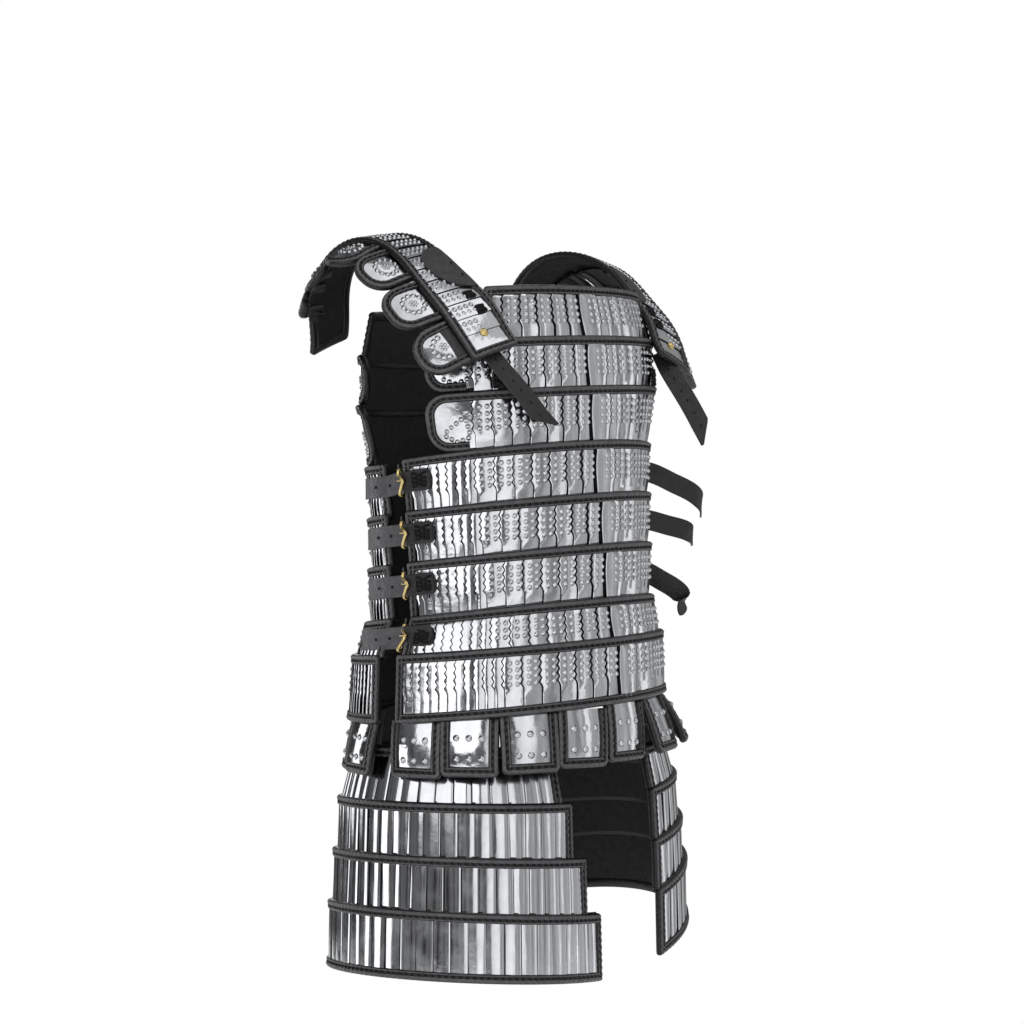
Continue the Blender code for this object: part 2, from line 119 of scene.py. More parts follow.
def addPiece(name, parts, finishes, slotName=None, nodes=(), wall=0.0, weld=0.0):
    # parts are (points, face arrays, finish numbers) and become one mesh. A wall is laid
    # inwards, with crisp edges, and its rim takes the last finish.
    points, corners, sizes, slots, start = [], [], [], [], 0
    for partPoints, faceSets, slot in parts:
        for faces, number in zip(faceSets, np.broadcast_to(slot, len(faceSets))):
            corners.append((faces + start).ravel())
            sizes.append(np.full(len(faces), faces.shape[1]))
            slots.append(np.full(len(faces), number))
        points.append(partPoints)
        start += len(partPoints)
    points, corners, sizes, slots = map(np.concatenate, (points, corners, sizes, slots))
    mesh = bpy.data.meshes.new(name)
    mesh.vertices.add(len(points))
    mesh.vertices.foreach_set("co", points.astype(np.float32).ravel())
    mesh.loops.add(len(corners))
    mesh.loops.foreach_set("vertex_index", corners.astype(np.int32))
    mesh.polygons.add(len(sizes))
    mesh.polygons.foreach_set("loop_start", (np.cumsum(sizes) - sizes).astype(np.int32))
    mesh.polygons.foreach_set("material_index", slots.astype(np.int32))
    mesh.polygons.foreach_set("use_smooth", np.ones(len(sizes), bool))
    mesh.update(calc_edges=True)
    mesh.validate()
    for finish in finishes:
        mesh.materials.append(finish)
    piece = bpy.data.objects.new(name, mesh)
    bpy.context.scene.collection.objects.link(piece)
    if weld:
        piece.modifiers.new("closed seam", "WELD").merge_threshold = weld
    if wall:
        solid = piece.modifiers.new("wall", "SOLIDIFY")
        solid.thickness, solid.offset = wall, -1.0
        solid.use_even_offset = True
        solid.material_offset_rim = len(finishes) - 1
        piece.modifiers.new("crisp edges", "EDGE_SPLIT").split_angle = math.radians(35)
    if slotName:
        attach(piece, "root")
    if nodes:
        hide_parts(*nodes)
    return piece


def addNode(tree, kind, settings=None, values=None, links=None):
    node = tree.nodes.new("ShaderNode" + kind)
    for key, value in (settings or {}).items():
        setattr(node, key, value)
    for key, value in (values or {}).items():
        node.inputs[key].default_value = value
    for key, source in (links or {}).items():
        tree.links.new(source, node.inputs[key])
    return node


def newFinish(name, values):
    material = bpy.data.materials.new(name)
    material.use_nodes = True
    tree = material.node_tree
    shader = tree.nodes["Principled BSDF"]
    for key, value in values.items():
        shader.inputs[key].default_value = value
    return material, tree, shader, addNode(tree, "TexCoord").outputs["Object"]


rampInputs = ("From Min", "From Max", "To Min", "To Max")


def makeFinish(name, values, tones, wave, reliefs, detail=4.0, mottle=0.5, rough=None):
    # Patches of the given wave blend the two tones, and move the roughness over a map range.
    # Each relief is (depth, strength, its pattern), and the patches' own where it names none.
    material, tree, shader, where = newFinish(name, values)

    def pattern(wave, kind="TexNoise", output="Fac", upright=1.0, **settings):
        turned = addNode(tree, "Mapping", values={"Scale": (1, 1, upright)},
                         links={"Vector": where})
        return addNode(tree, kind, values={"Scale": 1 / wave, **settings},
                       links={"Vector": turned.outputs["Vector"]}).outputs[output]

    patches = pattern(wave, Detail=detail, Roughness=mottle)
    tint = addNode(tree, "Mix", {"data_type": "RGBA"},
                   {"A": linearColour(tones[0]), "B": linearColour(tones[1])},
                   {"Factor": patches})
    tree.links.new(tint.outputs["Result"], shader.inputs["Base Color"])
    if rough:
        level = addNode(tree, "MapRange", values=dict(zip(rampInputs, rough)),
                        links={"Value": patches})
        tree.links.new(level.outputs["Result"], shader.inputs["Roughness"])
    under = {}
    for depth, strength, relief in reliefs:
        height = pattern(**relief) if relief else patches
        bump = addNode(tree, "Bump", values={"Strength": strength, "Distance": depth},
                       links={"Height": height, **under})
        under = {"Normal": bump.outputs["Normal"]}
    tree.links.new(bump.outputs["Normal"], shader.inputs["Normal"])
    return material


steelLook = dict(inMm(smear=34, dent=24, ripple=6.5), tones=("#d3d5d8", "#b4b6ba"),
                 rough=(0.35, 0.72, 0.06, 0.21))
leatherLook = inMm(grain=1.6, grainDepth=0.26, crease=8, creaseDepth=0.9)


def makeSteel(name, dentDepth, rippleDepth, upright=1.0):
    # Cold rolled sheet steel, cut, hammered out and buffed: mirror-like, with soft dents that
    # bend the reflections and smears where the buffing left it duller.
    return makeFinish(
        name, {"Metallic": 1.0}, steelLook["tones"], steelLook["smear"], [
            (dentDepth, 1.0, dict(wave=steelLook["dent"], upright=upright, Detail=1.5)),
            (rippleDepth, 1.0, dict(wave=steelLook["ripple"], Detail=2.0))],
        mottle=0.6, rough=steelLook["rough"])


def makeLeather(name, light, dark, roughness):
    # Vegetable tanned cowhide, dyed through and waxed: charcoal with a low sheen. The grain is
    # drawn at 1.6 mm, about twice its real size, so that it shows.
    look = leatherLook
    return makeFinish(
        name, {"Metallic": 0.0, "IOR": 1.5, "Specular IOR Level": 0.42}, (dark, light),
        look["crease"], [
            (look["creaseDepth"], 1.0, None),
            (look["grainDepth"], 0.7, dict(wave=look["grain"], kind="TexVoronoi",
                                           output="Distance"))],
        detail=5.0, mottle=0.62, rough=(0.3, 0.7, roughness + 0.1, roughness - 0.08))


def makeSpeckled(name, light, dark, wave, depth, roughness, **values):
    # one tone over another in soft patches, with a shallow relief: threads, cut edges, brass
    return makeFinish(name, {"Roughness": roughness, **(values or {"Metallic": 1.0})},
                      (dark, light), wave, [(depth, 1.0, None)])


steel = makeSteel("buffed steel with stamped bosses", 0.55 * mm, 0.13 * mm)
sheetSteel = makeSteel("buffed plain sheet steel", 0.75 * mm, 0.035 * mm, 0.3)
bossSteel = makeSteel("stamped steel bosses", 0.05 * mm, 0.02 * mm)
gapShadeEdge = makeSpeckled(  # painted shade: near black and rough, drawn in the gaps and on the rims between bright faces
    "painted black gap shade on steel edges", "#1d1e20", "#08090a", 3 * mm, 0.05 * mm, 0.45)
bossFootShade = makeSpeckled(  # painted shade: a darker, duller ring about each boss's foot
    "painted shade ring at a boss foot", "#96989c", "#5c5e62", 3 * mm, 0.05 * mm, 0.34)
brass = makeSpeckled(  # pale yellow, softly uneven from the mould
    "cast and polished brass", "#ead9a0", "#b79a56", 9 * mm, 0.12 * mm, 0.24)
wireSteel = makeSpeckled(  # dull grey from the drawing plate
    "drawn steel wire", "#9c9ea1", "#6d6f73", 4 * mm, 0.05 * mm, 0.3)
threadAndHoleShade = makeSpeckled(  # a twisted thread, drawn about twice its real size so that it shows; its black also paints the shade in punched holes
    "waxed black linen thread", "#131313", "#040404", 1.5 * mm, 0.1 * mm, 0.62,
    **{"Specular IOR Level": 0.22})
bindingLeather = makeLeather("folded black binding leather", "#19191a", "#030303", 0.36)
# painted highlight: the crests of the folded binding drawn in a pale grey
crestHighlightLeather = makeLeather("black leather with painted highlight on the fold", "#6a6a6d", "#161617", 0.30)
strapLeather = makeLeather("black bridle leather", "#2c2b2d", "#171718", 0.44)
wornLeather = makeLeather("bridle leather worn paler", "#626065", "#343336", 0.44)
patchLeather = makeLeather("grey black skirting leather", "#3a3a3b", "#1e1e1f", 0.52)
liningLeather = makeLeather("black split leather backing", "#211f1e", "#100f0f", 0.70)
# the plates' second finish, on their edge strips and rims, is painted gap shade; the bosses'
# second, on their foot rings, is painted shade
plateFinishes, bossFinishes = [steel, gapShadeEdge], [bossSteel, bossFootShade]
sewnFinishes = [bindingLeather, threadAndHoleShade, crestHighlightLeather]
report("finishes ready")


def nodeTriangles(name):
    # a node's loose triangles, as their corners (count, 3, 3)
    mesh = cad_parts[name].data
    mesh.calc_loop_triangles()
    points = np.empty(len(mesh.vertices) * 3)
    mesh.vertices.foreach_get("co", points)
    corners = np.empty(len(mesh.loop_triangles) * 3, np.int64)
    mesh.loop_triangles.foreach_get("vertices", corners)
    return points.reshape(-1, 3)[corners.reshape(-1, 3)]


def crossEdges(triangles, value):
    # where triangles' edges pass from one side of value 0 to the other, and the points there
    after = np.roll(value, -1, axis=1)
    crossing = value * after < 0
    share = (value / np.where(crossing, value - after, 1))[..., None]
    return crossing, triangles + (np.roll(triangles, -1, axis=1) - triangles) * share


def cutWall(triangles, angle, facing, middle):
    # the segments in which an upright half plane through the middle cuts a wall: for each one
    # its lower and upper height and the radii there
    x = triangles[..., 0] - middle[0]
    y = (triangles[..., 1] - middle[1]) * facing
    across = x * math.cos(angle) - y * math.sin(angle)
    along = x * math.sin(angle) + y * math.cos(angle)
    crossing, spots = crossEdges(np.stack([along, triangles[..., 2]], axis=-1), across)
    crossing &= along > 0
    spots = np.where(crossing[..., None], spots, np.nan)[crossing.sum(axis=1) == 2]
    order = np.argsort(spots[..., 1], axis=1)[:, :2, None]
    (radiusLow, low), (radiusHigh, high) = np.moveaxis(
        np.take_along_axis(spots, order, axis=1), 0, -1)
    return low, high, radiusLow, radiusHigh


def outermost(cut, level):
    # the largest radius at a level, which is kept just inside the wall
    low, high, radiusLow, radiusHigh = cut
    level = min(max(level, low.min() + 0.2 * mm), high.max() - 0.2 * mm)
    inside = (low <= level) & (high >= level)
    share = (level - low[inside]) / np.maximum(high[inside] - low[inside], 1e-9)
    return (radiusLow[inside] + (radiusHigh - radiusLow)[inside] * share).max()


# how the walls are read: degrees kept clear of their ends, how far from an edge its radius is
# taken, how far above the next row's top a row ends, and the polynomial's degree
wallReading = dict(inMm(edge=0.4, gap=0.8), roundEnd=13, squareEnd=1.2, beltEnd=0.6, degree=8)


def readWall(name, facing, middle, centre, below, rounded):
    # The CAD wall's outer face, made smooth: a plane through its top edge, a lower plane, and a
    # radius that is a polynomial of the angle, with a slope down the wall. Gives place(s, d, h):
    # s along from the angle centre, d down from the top edge, h out from the face.
    triangles = nodeTriangles(name)
    points = triangles.reshape(-1, 3)
    turns = np.arctan2(points[:, 0] - middle[0], facing * (points[:, 1] - middle[1]))
    first, last, edge = turns.min(), turns.max(), wallReading["edge"]

    def cutAt(angles):
        return [cutWall(triangles, angle, facing, middle) for angle in angles]

    def radiiAt(cuts, levels):
        return np.array([outermost(cut, level) for cut, level in zip(cuts, levels)])

    def spot(turn, radius):
        return middle[0] + radius * np.sin(turn), middle[1] + facing * radius * np.cos(turn)

    def planeAt(plane, x, y):
        return plane[0] + plane[1] * x + plane[2] * y

    inset = math.radians(wallReading["roundEnd" if rounded else "squareEnd"])
    inner = np.linspace(first + inset, last - inset, 40)
    cuts = cutAt(inner)
    topEdge = np.array([cut[1].max() for cut in cuts])
    topRadius = radiiAt(cuts, topEdge - edge)
    x, y = spot(inner, topRadius)
    basis = np.stack([np.ones_like(x), x, y], axis=1)
    top = np.linalg.lstsq(basis, topEdge, rcond=None)[0]
    if below is None:
        lowEdge = np.array([cut[0].min() for cut in cuts])
        low = np.linalg.lstsq(basis, lowEdge, rcond=None)[0]
    else:
        low = below["top"] + np.array([wallReading["gap"], 0, 0])
        lowEdge = planeAt(low, x, y)
    lowRadius = radiiAt(cuts, lowEdge + edge)
    inset = math.radians(wallReading["beltEnd"])
    wide = np.linspace(first + inset, last - inset, 60)
    x, y = spot(wide, np.interp(wide, inner, topRadius))
    beltRadius = radiiAt(cutAt(wide), (planeAt(top, x, y) + planeAt(low, x, y)) / 2)
    slope = np.polyfit(inner, lowRadius - topRadius, 2)
    belt = np.polyfit(wide, beltRadius, wallReading["degree"])
    dense = np.linspace(first - 0.02, last + 0.02, 500)
    radius = np.polyval(belt, np.clip(dense, wide[0], wide[-1]))
    flat = np.stack([radius * np.sin(dense), facing * radius * np.cos(dense)], axis=1)
    along = lengthAlong(flat)
    along -= np.interp(centre, dense, along)
    tangent = np.gradient(flat, axis=0)
    normal = unit(np.stack([tangent[:, 1], -tangent[:, 0]], axis=1))
    normal *= np.sign((normal * flat).sum(axis=1, keepdims=True))

    def place(s, d, h):
        s, d, h = np.broadcast_arrays(np.asarray(s, float), d, h)
        turn = np.interp(s, along, dense)
        r = np.interp(turn, dense, radius)
        x, y = spot(turn, r)
        share = d / (planeAt(top, x, y) - planeAt(low, x, y))
        x, y = spot(turn, r + np.polyval(slope, turn) * (share - 0.5))
        out = lineAt(turn, dense, normal)
        return np.stack([x + out[..., 0] * h, y + out[..., 1] * h, planeAt(top, x, y) - d],
                        axis=-1)

    ends = np.interp([first + 0.004, last - 0.004], dense, along)
    reach = np.linspace(*ends, 9)
    x, y, _ = place(reach, 0, 0).T
    height = np.polyfit(reach, planeAt(top, x, y) - planeAt(low, x, y), 2)
    return dict(place=place, top=top, ends=ends, height=height)


def layGrid(place, s, d, h, gapShadeColumns=()):
    # A stack of grids (count, rows, columns) laid on a wall, all facing out. The columns named in
    # the last argument take the second finish, which on the plates is a strip of painted gap shade.
    s, d, h = np.broadcast_arrays(s, d, h)
    points = place(s, d, h).reshape(-1, 3)
    lifted = place(s, d, h + mm).reshape(-1, 3) - points
    faces = turnOut(points, gridFaces(*s.shape), lifted)
    strips = s.shape[2] - 1
    dark = np.isin(np.arange(len(faces)) % strips, [k % strips for k in gapShadeColumns])
    return points, [faces[~dark], faces[dark]], [0, 1]


bossShape = dict(inMm(radius=2.7, height=2.1), around=8,
                 # each ring's radius and height as shares
                 rings=np.array([[1.25, -0.06], [1.0, 0.12], [0.72, 0.58], [0.38, 0.89]]))


def layBosses(place, s, d, h, size=1.0):
    # Low domes: ring k has radius R*rk and height H*hk, from a foot sunk in the plate, of the
    # second finish, a painted shade ring, to a point at the crown.
    rings, around = bossShape["rings"], bossShape["around"]
    turn = np.arange(around) * 2 * np.pi / around
    reach = rings[:, 0, None] * bossShape["radius"] * size
    offS, offD = (np.append((reach * wave(turn)).ravel(), 0) for wave in (np.cos, np.sin))
    rise = np.append(np.repeat(rings[:, 1], around), 1.0) * bossShape["height"] * size
    s, d, h = (values.ravel()[:, None] for values in np.broadcast_arrays(s, d, h))
    points = place(s + offS, d + offD, h + rise)
    lifted = (place(s + offS, d + offD, h + rise + mm) - points).reshape(-1, 3)
    count, each = points.shape[:2]
    quads = gridFaces(1, len(rings), around, closeColumns=True)
    ring = np.arange(around) + (len(rings) - 1) * around
    fan = np.stack([ring, np.roll(ring, -1), np.full(around, each - 1)], axis=-1)
    shift = np.arange(count)[:, None, None] * each
    points = points.reshape(-1, 3)
    faces = [turnOut(points, (f + shift).reshape(-1, f.shape[1]), lifted)
             for f in (quads[:around], quads[around:], fan)]
    return points, faces, [1, 0, 0]


def roundPath(corners, radii, step, closed=False):
    # Straight runs joined by arcs: an arc of radius R begins R / tan(half the corner's angle)
    # before the corner. Gives a point every step, and the unit direction inwards there.
    corners = np.array(corners, float)
    count = len(corners)
    radii = np.broadcast_to(radii, count)
    runs = []
    for i, here in enumerate(corners):
        if not closed and i in (0, count - 1):
            runs.append(here[None])
            continue
        back, onward = unit(corners[i - 1] - here), unit(corners[(i + 1) % count] - here)
        half = math.acos(np.clip(back @ onward, -1, 1)) / 2
        cut = radii[i] / math.tan(half)
        hub = here + unit(back + onward) * radii[i] / math.sin(half)
        start, end = here + back * cut - hub, here + onward * cut - hub
        angle = math.atan2(start[1], start[0])
        bend = (math.atan2(end[1], end[0]) - angle + math.pi) % (2 * math.pi) - math.pi
        arc = angle + bend * np.linspace(0, 1, 9)
        runs.append(hub + radii[i] * np.stack([np.cos(arc), np.sin(arc)], axis=1))
    line = np.vstack(runs + ([runs[0][:1]] if closed else []))
    length = lengthAlong(line)
    wanted = np.linspace(0, length[-1], max(3, int(round(length[-1] / step)) + 1))
    if closed:
        wanted = wanted[:-1]
    path = lineAt(wanted, length, line)
    along = unit(np.roll(path, -1, axis=0) - np.roll(path, 1, axis=0) if closed
                 else np.gradient(path, axis=0))
    inward = np.stack([-along[:, 1], along[:, 0]], axis=1)
    if (inward * (corners.mean(axis=0) - path)).sum() < 0:
        inward = -inward
    return dict(points=path, inward=inward, length=wanted, closed=closed, total=length[-1])


# a strip of leather folded over an edge and sewn through: inset from the edge, height from
# the wall's outer face, and how much that point takes part in the swelling between stitches
bindingShape = dict(
    inMm(stitch=8.2, swell=0.9, seam=6.9, threadLength=5.6, threadRadius=1.55, threadRise=2.6,
         slant=2.2, step=1.65, corner=3, past=4,
         rowTop=1.2, guardTop=3.5),  # how low its top sits below a wall's top edge
    rows=0.88,  # its scale on the rows
    profile=np.array([
        [12.0, -4.2, 0], [11.0, -5.0, 0], [5.0, -5.2, 0], [0.4, -4.8, 0], [-0.9, -3.6, 0],
        [-1.6, -1.2, 0.2], [-1.0, 1.5, 0.5], [0.5, 3.2, 0.8], [2.6, 4.0, 1.0], [4.7, 3.5, 1.0],
        [5.9, 2.7, 0.9], [7.9, 2.6, 0.9], [9.1, 3.3, 1.0], [10.5, 3.3, 0.8], [11.7, 2.6, 0.4],
        [12.1, 1.0, 0],
    ]) * np.array([mm, mm, 1]),
    crests=(7, 8, 12),  # the columns of the profile that take the painted highlight
    # how far along a stitch, how thick, and how high each ring of a thread is
    stitchRings=np.array([[-0.5, 0.15, -0.7], [-0.34, 0.9, 0.15], [0, 1.0, 0.35],
                          [0.34, 0.9, 0.15], [0.5, 0.15, -0.7]]),
)


def carryBinding(place, path, shape, scale):
    # profile points (inset, height) carried along the path; between two stitches the leather
    # swells as (1 - cos(2 pi l / stitch)) / 2. A narrow one is nearly as high as a full one.
    profile = shape["profile"]
    swell = 0.5 - 0.5 * np.cos(2 * np.pi * path["length"] / shape["stitch"])
    s, d = (path["points"][:, None, k] + path["inward"][:, None, k] * profile[:, 0] * scale
            for k in (0, 1))
    h = profile[:, 1] * min(scale * 1.1, 1.0) + shape["swell"] * swell[:, None] * profile[:, 2]
    points, (quads, *caps) = sweep(place(s, d, h), path["closed"])
    # the crest columns take the third finish, a painted highlight
    crest = np.isin(np.arange(len(quads)) % len(profile), shape["crests"])
    sets = closedOut(points, [quads[~crest], quads[crest], *caps])
    return points, sets, [0, 2, 0][:len(sets)]


def layThreads(place, path, shape, scale=1.0, slot=1):
    # each stitch is a short thread: five rings of six, its ends sunk in the leather
    count = int(path["total"] / shape["stitch"])
    middles = np.arange(count) * shape["stitch"] + 0.5 * (path["total"] % shape["stitch"])
    ring = shape["stitchRings"]
    turn = np.arange(6) * np.pi / 3
    run = middles[:, None] + ring[:, 0] * shape["threadLength"]
    spot, inward = (lineAt(run, path["length"], path[key])[..., None, :]
                    for key in ("points", "inward"))
    radius = ring[:, 1, None] * shape["threadRadius"]
    side = shape["seam"] * scale + radius * np.cos(turn) + shape["slant"] * ring[:, 0, None]
    rise = shape["threadRise"] * scale + ring[:, 2, None] * mm + radius * np.sin(turn)
    points = place(spot[..., 0] + inward[..., 0] * side, spot[..., 1] + inward[..., 1] * side,
                   rise).reshape(-1, 3)
    return points, closedOut(points, [gridFaces(count, 5, 6, closeColumns=True)]), slot


def sewBorder(name, place, path, scale):
    addPiece(f"{name}_binding", [carryBinding(place, path, bindingShape, scale),
                                 layThreads(place, path, bindingShape, scale)],
             sewnFinishes, "black_leather")


laminaShape = dict(
    inMm(width=35, pitch=22.5, narrowWidth=19, narrowPitch=11.3, toothPitch=9, toothDepth=3,
         step=1.4, stepRun=3.5, bossColumns=(8.9, 17.8), bossPitch=8.4, firstBoss=19,
         bindingWidth=12, exposed=51, hidden=3,
         cut=1.5, bevel=1.3, drop=0.8,  # the black strip of painted gap shade, then the bright bevel
         lift=2.6, fall=3.1, wall=1.1, crown=0.6, tilt=0.42, topIn=1.6, footIn=1.5, footRun=14,
         # where a plate begins, the run over which its teeth fade out, the least room below the
         # last boss, where its lower part begins to be fitted to the row, its straight run
         top=4, fade=6, underLast=9, stretchFrom=20, straightRun=12, leastRun=2, bossLift=1.2,
         # the middle plate: its edges, its bowed edge, its rise, its columns of bosses, and
         # where the counting of the plates on either side begins
         middle=(-16.8, 17), bow=4.6, over=0.7, middleBosses=(-1, 8), starts=(-18, 17),
         # what the end binding covers, the rounded end plate, and its loop of bosses
         endCover=9, endPlate=38, endLift=0.9, endCrown=0.8, endFall=1.2, endIn=4, endUnder=6,
         endTop=3, loopPitch=7.3, loopCorner=3),
    wideEachSide=7, toothedTo=0.69, bossRows=4, narrowCrown=0.45,
    # the loop of bosses on an end plate: inset from the end (mm) and share of the row's height
    endLoop=np.array([[18, 0.70], [46, 0.42], [52, 0.77], [36, 0.85]]),
)


def toothedEdge(depths, shape):
    # how far a plate's edge is drawn in at each depth: a zigzag of half pitches over the upper
    # part, then a step inwards and a straight run
    upper = shape["bindingWidth"] + shape["toothedTo"] * shape["exposed"]
    wave = np.abs((depths - shape["bindingWidth"]) / shape["toothPitch"] % 1 - 0.5) * 2
    below = shape["toothDepth"] * 0.5 + shape["step"] * np.clip(
        (depths - upper) / shape["stepRun"], 0, 1)
    return np.where(depths < upper, shape["toothDepth"] * (wave - 0.5), below)


def laySide(sign, start, limit, shape):
    # plates from the middle plate's edge out to the end: each lies under the one before it.
    # sign -1 is towards the wearer's right on the breast.
    wide = np.arange(60) < shape["wideEachSide"]
    spots = start + sign * np.cumsum(np.where(wide, shape["pitch"], shape["narrowPitch"]))
    kept = sign * spots <= sign * limit
    return spots[kept], np.where(wide, shape["width"], shape["narrowWidth"])[kept], ~wide[kept]


def stretched(wall, s, d, deepest, start, at):
    # rows are a little taller or lower towards their ends: the plates' lower part follows
    more = np.polyval(wall["height"], s) - np.polyval(wall["height"], at)
    return d + more * np.clip((d - start) / (deepest - start), 0, 1)


def buildLaminae(wall, node, shape, rounded, last):
    # Each plate stands above the wall's face by lift - fall * x + crown * (1 - (2x - 1)^2),
    # where x runs over its width from 0 at its outer edge, so that it goes under its neighbour.
    place, (left, right) = wall["place"], wall["ends"]
    clear = shape["endCover"] + (shape["endPlate"] if rounded else 0)
    deepest = np.polyval(wall["height"], 0.0) + shape["hidden"] * (-1 if last else 1)
    half = shape["toothPitch"] / 2
    upper = shape["bindingWidth"] + shape["toothedTo"] * shape["exposed"]
    depths = np.concatenate([
        [shape["top"]], np.arange(shape["bindingWidth"], upper - half * 0.5, half),
        [upper, upper + shape["stepRun"], upper + shape["straightRun"]]])
    depths = np.append(depths[depths < deepest - shape["leastRun"]], deepest)
    topIn = shape["topIn"] * (depths == shape["top"])
    footIn = shape["footIn"] * np.clip(1 + (depths - deepest) / shape["footRun"], 0, 1)
    bossRows = shape["firstBoss"] + np.arange(shape["bossRows"]) * shape["bossPitch"]
    bossRows = bossRows[bossRows < deepest - shape["underLast"]]
    # across a plate: a strip of painted gap shade, then the bevel, then the face
    near = np.array([0, shape["cut"]] + [shape["cut"] + shape["bevel"]] * 4)
    share = np.array([0, 0, 0, 0.32, 0.64, 1.0])
    drop = shape["drop"] * np.array([1.0, 0.55, 0, 0, 0, 0])
    parts, bossSpots, lastSpot = [], [], {}

    def crownAt(across):
        return shape["crown"] * (1 - (2 * across - 1) ** 2)

    for sign, edge, limit in zip((-1, 1), shape["starts"], (left + clear, right - clear)):
        spots, widths, narrow = laySide(sign, edge, limit, shape)
        if not rounded:  # the last one stops at the end binding
            spots = np.append(spots, limit)
            widths, narrow = np.append(widths, shape["narrowWidth"]), np.append(narrow, True)
        lastSpot[sign] = spots[-1]
        across = near + share * (widths[:, None, None] - near[-1])
        drawn = toothedEdge(depths, shape)[:, None] * np.clip(1 - across / shape["fade"], 0, 1)
        s = spots[:, None, None] - sign * (across + drawn)
        # an outer edge lies on its neighbour's face, the hidden edge on the leather
        over = across / widths[:, None, None]
        lean, sway = dice.normal(0, shape["tilt"], (2, len(spots)))
        d = depths[None, :, None] + 0 * s
        # the narrow plates are flatter, and straight to the foot
        flatter = np.where(narrow, shape["narrowCrown"], 1.0)[:, None, None]
        h = shape["lift"] - shape["fall"] * over - drop + crownAt(over) * flatter \
            + lean[:, None, None] * (over - 0.4) + sway[:, None, None] * (d / deepest - 0.5) \
            - topIn[:, None] - footIn[:, None] * ~narrow[:, None, None]
        d = stretched(wall, s, d, deepest, shape["stretchFrom"], 0.0)
        # column 0, along the outer edge, takes the painted gap shade
        parts.append(layGrid(place, s, d, h, (0,)))
        spots, widths, lean, sway = (v[~narrow][:, None] for v in (spots, widths, lean, sway))
        for offset in shape["bossColumns"]:
            at = offset / widths
            rise = shape["lift"] - shape["fall"] * at + crownAt(at) + lean * (at - 0.4) \
                + sway * (bossRows / deepest - 0.5)
            bossSpots.append(np.stack(np.broadcast_arrays(
                spots - sign * offset, bossRows, rise)).reshape(3, -1))
    # the middle plate lies on both its neighbours: a smooth bowed edge on one side
    bow = shape["bow"] * (1 - ((depths - 0.5 * deepest) / (0.5 * deepest)) ** 2)
    leftEdge = shape["middle"][0] - bow
    rightEdge = shape["middle"][1] - toothedEdge(depths, shape)
    mid = np.array([0.0, 0.075, 0.12, 0.35, 0.65, 0.9, 0.955, 1.0])
    s = leftEdge[:, None] + (rightEdge - leftEdge)[:, None] * mid
    h = shape["lift"] + shape["over"] + crownAt(mid) \
        - shape["drop"] * np.clip(1 - np.minimum(mid, 1 - mid) / 0.1, 0, 1) \
        - (2.2 * topIn + footIn)[:, None]  # its top dips under the binding's seam
    # both of its edge columns take the painted gap shade
    parts.append(layGrid(place, s[None], depths[None, :, None], h[None], (0, -1)))
    for column in shape["middleBosses"]:
        bossSpots.append(np.stack(np.broadcast_arrays(column, bossRows,
                                                      shape["lift"] + shape["bossLift"])))
    if rounded:
        for sign, end in ((-1, left), (1, right)):
            grid, ring = endPlate(wall, sign, end, abs(end - lastSpot[sign]), shape, rounded)
            parts.append(grid)
            bossSpots.append(ring)
    addPiece(f"{node}_plates", parts, plateFinishes, "polished_steel", [node], shape["wall"])
    addPiece(f"{node}_bosses", [layBosses(place, *np.concatenate(bossSpots, axis=1))],
             bossFinishes, "polished_steel")


def endPlate(wall, sign, end, reach, shape, rounded):
    # a plate with its outer corners rounded, its height bowed as the sine of the share of the
    # way down it, and a loop of bosses near its lower corner
    full = float(np.polyval(wall["height"], end))
    under = reach + shape["endUnder"]  # as far as it goes, some of it below the plate beside it
    inset = np.array([0, 0.04, 0.12, 0.25, 0.45, 0.7, 1.0]) * under + shape["endIn"]
    short = rounded - np.sqrt(np.maximum(rounded ** 2 - np.clip(rounded - inset, 0, None) ** 2, 0))
    down = np.linspace(0, 1, 9)[:, None]
    d = shape["endTop"] + short + (full - 2 * shape["endTop"] - 2 * short) * down
    h = shape["endLift"] + shape["endCrown"] * np.sin(np.pi * down) \
        - shape["endFall"] * inset / under
    corners = shape["endLoop"] * [mm, full]
    corners[:, 0] = end - sign * corners[:, 0]
    loop = roundPath(corners, shape["loopCorner"], shape["loopPitch"], closed=True)["points"]
    return layGrid(wall["place"], (end - sign * inset)[None, None], d[None], h[None]), \
        np.vstack([loop.T, np.full(len(loop), shape["endLift"])])


# the leather behind the plates: how far in from the ends and the top, how far behind the wall's
# face, how thick, how far it reaches under the next row; and at round ends from where, and over
# what run
backingShape = inMm(ends=1.5, top=1, behind=2.4, wall=1.5, under=8, roundUnder=5, roundRun=24,
                    roundBlend=8)


def buildBacking(wall, name, rounded, foot):
    # a strip along the wall, drawn in at round ends by R - sqrt(R^2 - t^2)
    shape, (left, right) = backingShape, wall["ends"]
    s = np.linspace(left + shape["ends"], right - shape["ends"], 90)
    inside = np.minimum(s - left, right - s)
    full = np.polyval(wall["height"], s)
    if rounded:  # only away from its round ends does it reach under the next row
        full = full + shape["roundUnder"] * np.clip(
            (inside - rounded - shape["roundRun"]) / shape["roundBlend"], 0, 1)
    elif not foot:
        full = full + shape["under"]
    within = np.clip(rounded - inside, 0, rounded)
    drawn = rounded - np.sqrt(np.maximum(rounded ** 2 - within ** 2, 0))
    down = np.linspace(0, 1, 5)[:, None]
    d = shape["top"] + drawn + (full - 2 * drawn - shape["top"]) * down
    piece = addPiece(f"{name}_backing", [layGrid(wall["place"], s[None, None], d[None],
                                                 -shape["behind"])],
                     [liningLeather], "black_leather", wall=shape["wall"])


